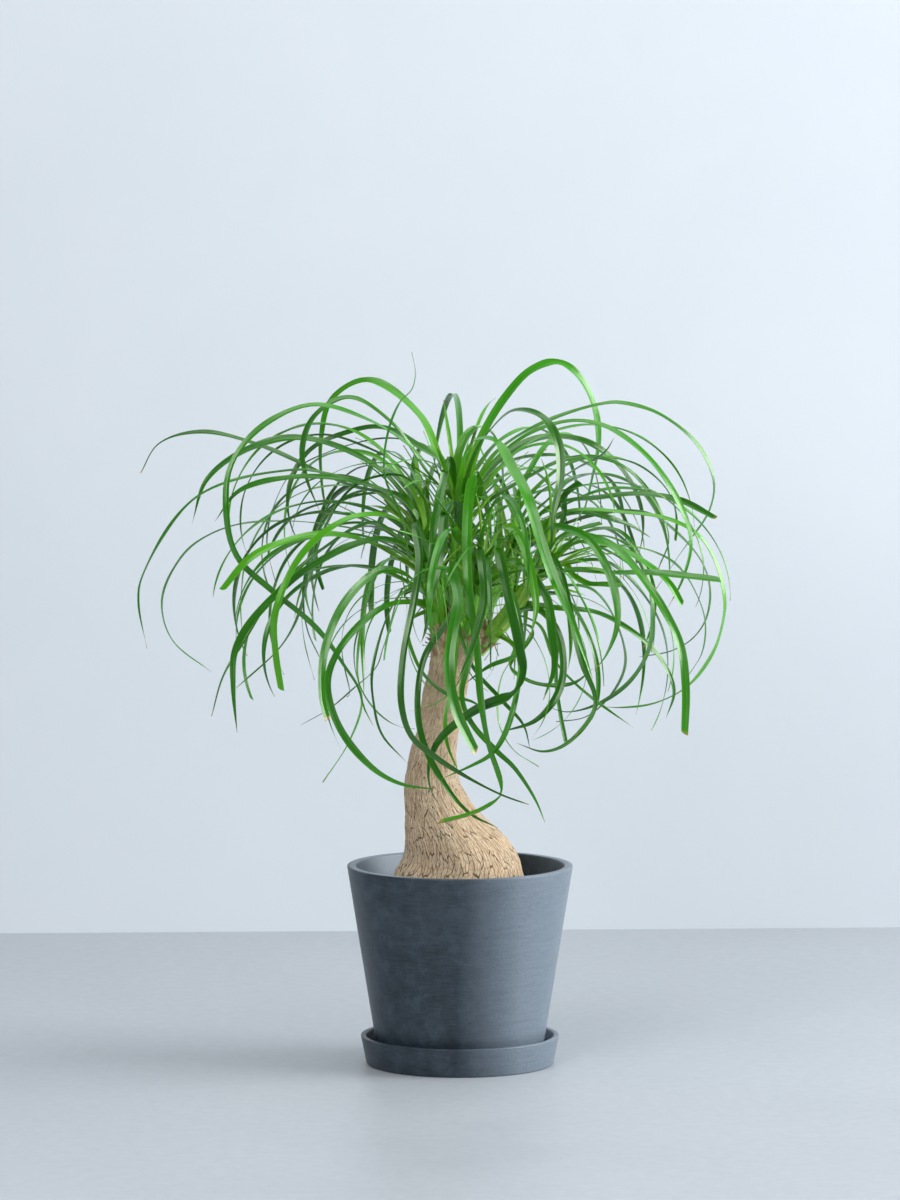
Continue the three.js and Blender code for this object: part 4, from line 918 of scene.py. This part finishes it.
def nearest_trouble(route, width, owner):
    """The place where a leaf comes closest to something, or None where it is clear."""
    reach = np.where(placed["solid"], placed["girth"] + stub_reach, leaf_reach)
    low, high = route.min(axis=0), route.max(axis=0)
    margin = reach[:, None]
    close = (placed["points"] > low - margin) & (placed["points"] < high + margin)
    near = np.flatnonzero(np.all(close, axis=1))
    if len(near) == 0:
        return None
    solid, girth = placed["solid"][near], placed["girth"][near]
    offset = route[:, None, :] - placed["points"][None, near, :]
    gap = np.linalg.norm(offset, axis=2)
    step = np.linalg.norm(route[1] - route[0])
    early = (np.arange(len(route)) * step < root_free)[:, None]
    same = placed["owner"][near] == owner
    skipped = same[None, :] & (solid[None, :] | early | (placed["run"][near] < root_free)[None, :])
    tangents = tangents_of(route)
    alike = (tangents @ placed["tangents"][near].T) ** 2
    share = (1 - alike) * 0.42 + alike * 0.6
    need = clearance + np.where(solid[None, :], girth + width / 2, share * (width + girth)[None, :])
    short = np.where((gap < reach[near][None, :]) & ~skipped & (gap < need), need - gap, 0.0)
    index, mate = np.unravel_index(np.argmax(short), short.shape)
    if short[index, mate] <= 0:
        return None
    return (short[index, mate], index, offset[index, mate], need[index, mate], tangents[index],
            placed["tangents"][near[mate]])


def bend_clear(route, width, owner):
    """A leaf that is in the way of another is bent aside, a little at a time."""
    for _ in range(bend_times):
        trouble = nearest_trouble(route, width, owner)
        if trouble is None:
            return route, 0.0
        _, index, offset, need, tangent, mate = trouble
        across = np.cross(tangent, mate)
        away = across if np.linalg.norm(across) > 0.4 else offset - tangent * offset.dot(tangent)
        away = away / np.linalg.norm(away)
        apart = away.dot(offset)
        away = away * (need - abs(apart) + 0.5) * (-1 if apart < 0 else 1)
        run = np.arange(samples + 1) * np.linalg.norm(route[1] - route[0])
        free = np.clip(run / root_free, 0, 1)
        share = np.exp(-((run - run[index]) / bend_spread) ** 2) * free * free * (3 - 2 * free)
        route = route + share[:, None] * away
    trouble = nearest_trouble(route, width, owner)
    return route, 0.0 if trouble is None else trouble[0]


def generator(seed):
    """Draws that come out the same in the part's own source."""
    state = [seed]

    def draw(low, high):
        state[0] = state[0] * 16807 % 2147483647
        return low + (high - low) * state[0] / 2147483647

    return draw


def arched_moves(step, lean, heading):
    """Even steps of a course, each with its lean from level and its heading."""
    level = np.cos(lean)
    return step * np.stack((level * np.cos(heading), level * np.sin(heading), np.sin(lean)), axis=1)


def course_from(head, up, moves):
    """A course that starts on a head's stub and goes on by the given moves."""
    start = on_stub(head, [up * last_root])
    return np.vstack((start, start + np.cumsum(moves, axis=0)))


def grown_leaf(head, order, draw):
    """A leaf of the hidden side: it leaves the stub steeply, arches over and hangs."""
    low, high = head["sector"]
    share = (order + 0.5) * 0.618034 % 1
    up = 0.3 + 0.7 * (order + 0.5) / head["count"]
    azimuth = math.radians(low + (high - low) * share + draw(-8, 8))
    pitch = math.radians(20 + (78 - 20) * up + draw(-10, 10))
    droop = math.radians(draw(75, 130))
    drift = math.radians(draw(-30, 30))
    step = draw(270, 410) / samples
    along = np.arange(1, samples + 1) / samples
    lean = pitch - (pitch + droop) * along ** 1.25
    heading = azimuth + drift * along ** 2
    route = course_from(head, up, arched_moves(step, lean, heading))
    width = draw(6, 10)
    turn = [draw(-20, 20), draw(-60, 60)]
    return dict(up=up, width=width, turn=turn, cut=draw(0, 1) < 0.12, route=route)


for owner, head in enumerate(heads):
    keep_clear_of(on_stub(head, np.arange(17) / 16), owner, stub_girth, True)
trunk_step, no_head = 12, -1
for z in range(trunk_foot, trunk_top, trunk_step):
    middle, radius = along_trunk(z)
    keep_clear_of(np.array(((middle, 0.0, z), (middle, 0.0, z + trunk_step / 2))), no_head, radius, True)
for owner, head in enumerate(heads):
    head["blades"] = []
    for blade in head["leaves"]:
        course = [seen(point) for point in blade["course"]]
        up = blade["up"] * last_root
        root = on_stub(head, [up])[0]
        root = root + (course[0] - root) * root_out * stub_radius(up) / np.linalg.norm(course[0] - root)
        route, _ = bend_clear(evenly([root, *course]), blade["width"], owner)
        keep_clear_of(route, owner, blade["width"])
        head["blades"].append(dict(blade, route=route))
for owner, head in enumerate(heads):
    draw = generator(head["seed"])
    for order in range(head["count"]):
        for _ in range(leaf_tries):
            blade = grown_leaf(head, order, draw)
            route, short = bend_clear(blade["route"], blade["width"], owner)
            if short < 1:
                keep_clear_of(route, owner, blade["width"])
                head["blades"].append(dict(blade, route=route))
                break


def blade_frames(route, turn):
    """A leaf's side and face directions at each place along it."""
    out = route[samples // 2] - route[0]
    normal = np.array((-out[0], -out[1], 0.0)) / math.hypot(out[0], out[1]) + (0.0, 0.0, 1.0)
    tangents = tangents_of(route)
    normals = []
    for tangent in tangents:
        normal = normal - tangent * normal.dot(tangent)
        normal = normal / np.linalg.norm(normal)
        normals.append(normal)
    normals = np.array(normals)
    facing = -np.cross(tangents[samples // 3], normals[samples // 3])[1]
    angles = np.radians(turn[0] + (turn[1] - turn[0]) * np.arange(len(route)) / samples)[:, None]
    sides = np.cross(tangents, normals)
    faces = normals * np.cos(angles) + sides * np.sin(angles) * (1 if facing >= 0 else -1)
    return tangents, np.cross(tangents, faces), faces


# A straight leaf is modelled in three finenesses, each a grid of unit size with an underside.
# Each leaf of the plant is a copy of one of them with its own mesh, laid along its course.
def flat_strip(name, columns, rows):
    """A thin strip, and where its points lie across it, along it and on its upper side."""
    bpy.ops.object.select_all(action="DESELECT")
    bpy.ops.mesh.primitive_grid_add(x_subdivisions=columns, y_subdivisions=rows, size=2.0)
    strip = bpy.context.object
    strip.name = name
    edit_all()
    bpy.ops.mesh.extrude_region_move(TRANSFORM_OT_translate={"value": (0.0, 0.0, 1.0)})
    end_edit()
    points = np.array([vertex.co[:] for vertex in strip.data.vertices])
    return strip, points[:, 0], np.rint((points[:, 1] + 1) / 2 * rows) / rows, points[:, 2] > 0.5


long_strip = flat_strip("long_strip", 8, samples)
short_strip = flat_strip("short_strip", 6, samples // 3)
thin_strip = flat_strip("thin_strip", 2, samples // 2)
leaf_seed = 29
leaf_random = np.random.default_rng(leaf_seed)
slimness, least_half, trimmed_at, point_share = 0.87, 0.22, 0.8, 0.27
wisps_a_head, bases_a_head, base_step, golden_angle = 6, 24, 0.030, 137.508
base_tones = {"head_right": (0.75, 1.0), "head_front": (0.5, 0.9)}


def taper_of(along, cut):
    """Share of a leaf's full width: a long taper to the point, unless it is trimmed before."""
    place = along * trimmed_at if cut else along
    return (1 + 0.15 * np.exp(-place * 14)) * np.minimum(1, (1 - place) / point_share) ** 0.75


def lay_blade(strip, route, width, turn, cut, tone, thick=0.62, clasp=0.45):
    """A strap leaf along its route: a thin ribbon with a crease, narrowed where it bends sharply."""
    _, across, along, upper = strip
    row = np.rint(along * samples).astype(int)
    tangents, sides, faces = blade_frames(route, turn)
    length = lengths_along(route)[-1]
    bends = np.linalg.norm(np.gradient(tangents, axis=0), axis=1) * samples / length
    bends = np.convolve(np.pad(bends, 1, mode="edge"), (0.25, 0.5, 0.25), mode="valid")
    pinch = 1 - 0.75 * np.clip((bends * width - 0.22) / 0.38, 0, 1)
    share = taper_of(along, cut) * (1 + clasp * np.exp(-along * length / 22.0)) * pinch[row]
    half = np.maximum(width * slimness * share / 2, least_half)
    ripple = leaf_random.uniform(0, 6.28, 4)
    half = half * (1 + 0.04 * np.sin(along * 9 + ripple[0]) + 0.03 * np.sin(along * 31 + ripple[1]))
    fold = 0.20 + 0.30 * np.exp(-along * length / 24.0) + 0.09 * np.sin(along * 7 + ripple[2])
    lift = 2 * half * fold * (np.sqrt(across ** 2 + 0.003) - 0.5)
    body = thick * (0.30 + 0.70 * (1 - np.abs(across))) * (0.45 + 0.55 * taper_of(along, cut))
    lift = lift + np.where(upper, body / 2, -body / 2)
    wave = 0.45 * np.sin(along * length / 15.0 + ripple[3]) * np.sign(across) * np.abs(across) ** 2
    ragged = 0.22 * width * (across * np.sign(math.sin(ripple[0])) - 0.5 * across ** 2)
    ragged = np.where((row == samples) & cut, ragged, 0.0)
    points = (route[row] + sides[row] * (half * across)[:, None] + faces[row] * (lift + wave)[:, None]
              + tangents[row] * ragged[:, None])
    dry = leaf_random.uniform(0, 1)
    reach = 0.002 + 0.004 * dry if cut else 0.004 + 0.030 * max(dry - 0.85, 0.0) / 0.15
    strength = min(max(2.5 * dry - 1.5, 0.0), 1.0) if cut else 0.6 + 0.4 * dry
    dryness = np.clip((along - 1 + reach + 0.002 * np.abs(across)) / reach, 0, 1) * strength
    return copy_piece(strip[0], points, {
        "along": along * length / 400.0, "across": across, "tone": tone, "dry": dryness,
        "shade": leaf_random.uniform(0, 1)})


def round_axis(axis):
    """Two directions at right angles to an axis and to each other."""
    first = np.cross(axis, (0.0, 1.0, 0.0))
    first = first / np.linalg.norm(first, axis=-1, keepdims=True)
    return first, np.cross(axis, first)


def clasping_base(head, up, azimuth, length, tone):
    """The long folded base of a leaf, wrapped part way round the stub."""
    strip, across, along, upper = short_strip
    row = np.rint(along * samples).astype(int)
    places = np.clip(up + np.arange(samples + 1) / samples * length / 110.0, 0, 1)
    line = on_stub(head, places)
    tangents = tangents_of(on_stub(head, np.linspace(0, 1, samples + 1)))
    tangents = tangents[np.clip((places * samples).astype(int), 0, samples)]
    first, second = round_axis(tangents)
    wrap = np.radians(15.0 + 17.0 * (1 - along) ** 0.7)
    angles = azimuth + wrap * across
    radius = (0.80 * stub_radius(places)[row] + leaf_random.uniform(-0.3, 1.1) + 1.3 * (1 - np.abs(across))
              + 2.0 * along ** 3 + np.where(upper, 0.3, -0.3))
    points = (line[row] + first[row] * (radius * np.cos(angles))[:, None]
              + second[row] * (radius * np.sin(angles))[:, None])
    return copy_piece(strip, points, {
        "along": 0.02 + along * 0.15, "across": across, "tone": tone, "dry": 0.0,
        "shade": leaf_random.uniform(0, 1)})


def thin_wisp(head):
    """A leaf that stayed thin as a thread and curls as it hangs."""
    up = leaf_random.uniform(0.3, 1.0)
    heading = math.radians(leaf_random.uniform(0, 360))
    shares = np.arange(1, samples + 1) / samples
    lean = math.radians(leaf_random.uniform(20, 75))
    lean = lean - math.radians(leaf_random.uniform(110, 210)) * shares ** 1.1
    heading = heading + math.radians(leaf_random.uniform(-150, 150)) * shares ** 1.5
    step = leaf_random.uniform(150, 300) / samples
    route = course_from(head, up, arched_moves(step, lean, heading))
    width, turn = leaf_random.uniform(1.2, 2.4), [0, leaf_random.uniform(-90, 90)]
    return lay_blade(thin_strip, route, width, turn, False, leaf_random.uniform(0.3, 1.0), 0.4, 0.2)


def young_leaf(head, order):
    """A short bright leaf of the heart, standing up round the stub's tip."""
    up = leaf_random.uniform(0.45, 0.98)
    azimuth = math.radians(order * golden_angle + leaf_random.uniform(-15, 15))
    axis = tangents_of(on_stub(head, [0.9, 1.0]))[0]
    lean = math.radians(leaf_random.uniform(12, 58))
    droop = math.radians(leaf_random.uniform(5, 70))
    length = leaf_random.uniform(60, 165)
    side, other = round_axis(axis)
    out = side * math.cos(azimuth) + other * math.sin(azimuth)
    shares = np.arange(1, samples + 1) / samples
    tilt = lean + droop * shares ** 1.6
    moves = length / samples * (np.cos(tilt)[:, None] * axis + np.sin(tilt)[:, None] * out)
    width = leaf_random.uniform(3.0, 6.5)
    turn = [leaf_random.uniform(-15, 15), leaf_random.uniform(-40, 40)]
    return lay_blade(short_strip, course_from(head, up, moves), width, turn, False,
                     leaf_random.uniform(0.6, 1.0), 0.5, 0.6)


leaf_skin, tree, shader = new_material("strap_leaf")
place = place_coordinates(tree)
along_leaf, across_leaf, tone, dry, shade = (
    attribute(tree, name) for name in ("along", "across", "tone", "dry", "shade"))
vein_place = add_node(tree, "ShaderNodeCombineXYZ", {"X": across_leaf, "Y": along_leaf, "Z": shade})
vein_place = add_node(tree, "ShaderNodeMapping", {
    "Vector": vein_place.outputs["Vector"], "Scale": (9.0, 2.5, 40.0)})
veins = noise_value(tree, vein_place.outputs["Vector"], 1.0, 3.0, 0.6)
cloudy = noise_value(tree, place, 22.0, 3.0, 0.5)
margin = add_node(tree, "ShaderNodeMath", {0: across_leaf}, operation="ABSOLUTE").outputs["Value"]
green = ramp(tree, tone, (0.0, (0.005, 0.080, 0.001)), (0.5, (0.038, 0.290, 0.002)),
             (1.0, (0.115, 0.450, 0.006)))
pale = ramp(tree, tone, (0.0, (0.040, 0.200, 0.004)), (0.7, (0.200, 0.520, 0.014)),
            (1.0, (0.520, 0.700, 0.100)))
dried = ramp(tree, dry, (0.0, (0.28, 0.36, 0.02)), (0.45, (0.42, 0.26, 0.04)), (1.0, (0.16, 0.075, 0.035)))
green = layered(
    tree, green,
    (along_leaf, ((0.02, 1.0), (0.26, 0.0)), pale),
    (cloudy, ((0.40, 0.0), (0.70, 0.30)), (0.030, 0.200, 0.006)),
    (veins, ((0.42, 0.0), (0.62, 0.30)), (0.085, 0.360, 0.014)),
    (veins, ((0.30, 0.30), (0.45, 0.0)), (0.008, 0.070, 0.003)),
    (margin, ((0.86, 0.0), (0.97, 0.40)), (0.200, 0.440, 0.050)),
    (dry, ((0.02, 0.0), (0.30, 1.0)), dried))
feed(tree, shader, Base_Color=green, Roughness=ramp(tree, veins, (0.3, 0.17), (0.7, 0.27)),
     Normal=bump(tree, veins, 0.30, 0.0005), Specular_IOR_Level=0.85, Specular_Tint=(0.85, 1.0, 0.75))

young_counts = {"head_left": 14, "head_centre": 18, "head_right": 22, "head_right_back": 12, "head_front": 12,
                "head_back": 12}
for head in heads:
    pieces = []
    for blade in head["blades"]:
        pieces.append(lay_blade(long_strip, blade["route"], blade["width"], blade["turn"], blade["cut"],
                                0.85 * leaf_random.uniform(0, 1) ** 1.3))
    for order in range(bases_a_head):
        azimuth = math.radians(order * golden_angle + 40.0)
        length = leaf_random.uniform(46, 70)
        tone = leaf_random.uniform(*base_tones.get(head["name"], (0.2, 0.7)))
        pieces.append(clasping_base(head, order * base_step, azimuth, length, tone))
    for _ in range(wisps_a_head):
        pieces.append(thin_wisp(head))
    for order in range(young_counts[head["name"]]):
        pieces.append(young_leaf(head, order))
    leafy = join_pieces(pieces, "leafy_" + head["name"])
    smooth_piece(leafy, 14.0)
    leafy.data.materials.append(leaf_skin)
    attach(leafy, "root")
    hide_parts(head["name"])
for strip in (long_strip, short_strip, thin_strip):
    bpy.data.objects.remove(strip[0])


# Leaf scars: papery brown scraps of old leaf bases. They grow round the trunk's knobby top
# and in a torn collar round the foot of each stub.
husk, tree, shader = new_material("papery_husk")
fibres = noise_value(tree, place_coordinates(tree, (400.0, 400.0, 60.0)), 1.0, 4.0, 0.7, 0.6)
paper = ramp(tree, attribute(tree, "tone"), (0.0, (0.330, 0.200, 0.110)), (0.5, (0.560, 0.390, 0.240)),
             (1.0, (0.740, 0.590, 0.400)))
paper = blend_colours(tree, ramp(tree, fibres, (0.40, 0.50), (0.58, 0.0)), paper, (0.180, 0.100, 0.055))
feed(tree, shader, Base_Color=paper, Roughness=0.9, Normal=bump(tree, fibres, 0.6, 0.0010),
     Specular_IOR_Level=0.25)

top_scraps, collar_scraps, lowest_scrap, highest_scrap = 110, 12, 448, 484
scrap, scrap_across, scrap_along, scrap_upper = flat_strip("flat_scrap", 4, 6)
scrap_side = np.where(scrap_upper, 0.25, -0.25)


def torn_scrap(foot, up, out, width, length, curl):
    """A scrap that stands on a surface, wraps it a little, leans out and ends in a torn tip."""
    side = np.cross(up, out)
    lean = scrap_along ** 1.5 * curl
    jag = 0.25 * np.sin(scrap_across * 9 + width * 5) * (scrap_along > 0.9)
    half = width / 2 * (1 - 0.75 * scrap_along ** 1.6)
    reach = length * (scrap_along + jag * 0.4)
    height = scrap_side + reach * np.sin(lean) - 0.9 * scrap_across ** 2 * half / 3
    points = (foot + np.outer(half * scrap_across, side) + np.outer(reach * np.cos(lean), up)
              + np.outer(height, out))
    return copy_piece(scrap, points, {"tone": leaf_random.uniform(0, 1)})


scraps = []
for _ in range(top_scraps):
    z = leaf_random.uniform(lowest_scrap, highest_scrap)
    angle = leaf_random.uniform(0, 2 * math.pi)
    middle, radius = along_trunk(z)
    out = np.array((math.cos(angle), math.sin(angle), 0.0))
    foot = np.array((middle, 0.0, z)) + out * (bark_form(angle, z, radius) - 0.4)
    scraps.append(torn_scrap(foot, np.array((0.0, 0.0, 1.0)), out, leaf_random.uniform(8, 17),
                             leaf_random.uniform(6, 15), leaf_random.uniform(0.1, 0.8)))
for head in heads:
    for order in range(collar_scraps):
        up = leaf_random.uniform(0.02, 0.16)
        middle = on_stub(head, [up])[0]
        axis = tangents_of(on_stub(head, [0.0, 0.3]))[0]
        side, other = round_axis(axis)
        angle = 2 * math.pi * order / collar_scraps + leaf_random.uniform(-0.2, 0.2)
        out = side * math.cos(angle) + other * math.sin(angle)
        foot = middle + out * (stub_radius(up) + 0.4)
        scraps.append(torn_scrap(foot, axis, out, leaf_random.uniform(6, 11),
                                 leaf_random.uniform(5, 14), leaf_random.uniform(0.0, 0.6)))
scars = join_pieces(scraps, "leaf_scars")
smooth_piece(scars, 40.0)
scars.data.materials.append(husk)
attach(scars, "root")
bpy.data.objects.remove(scrap)
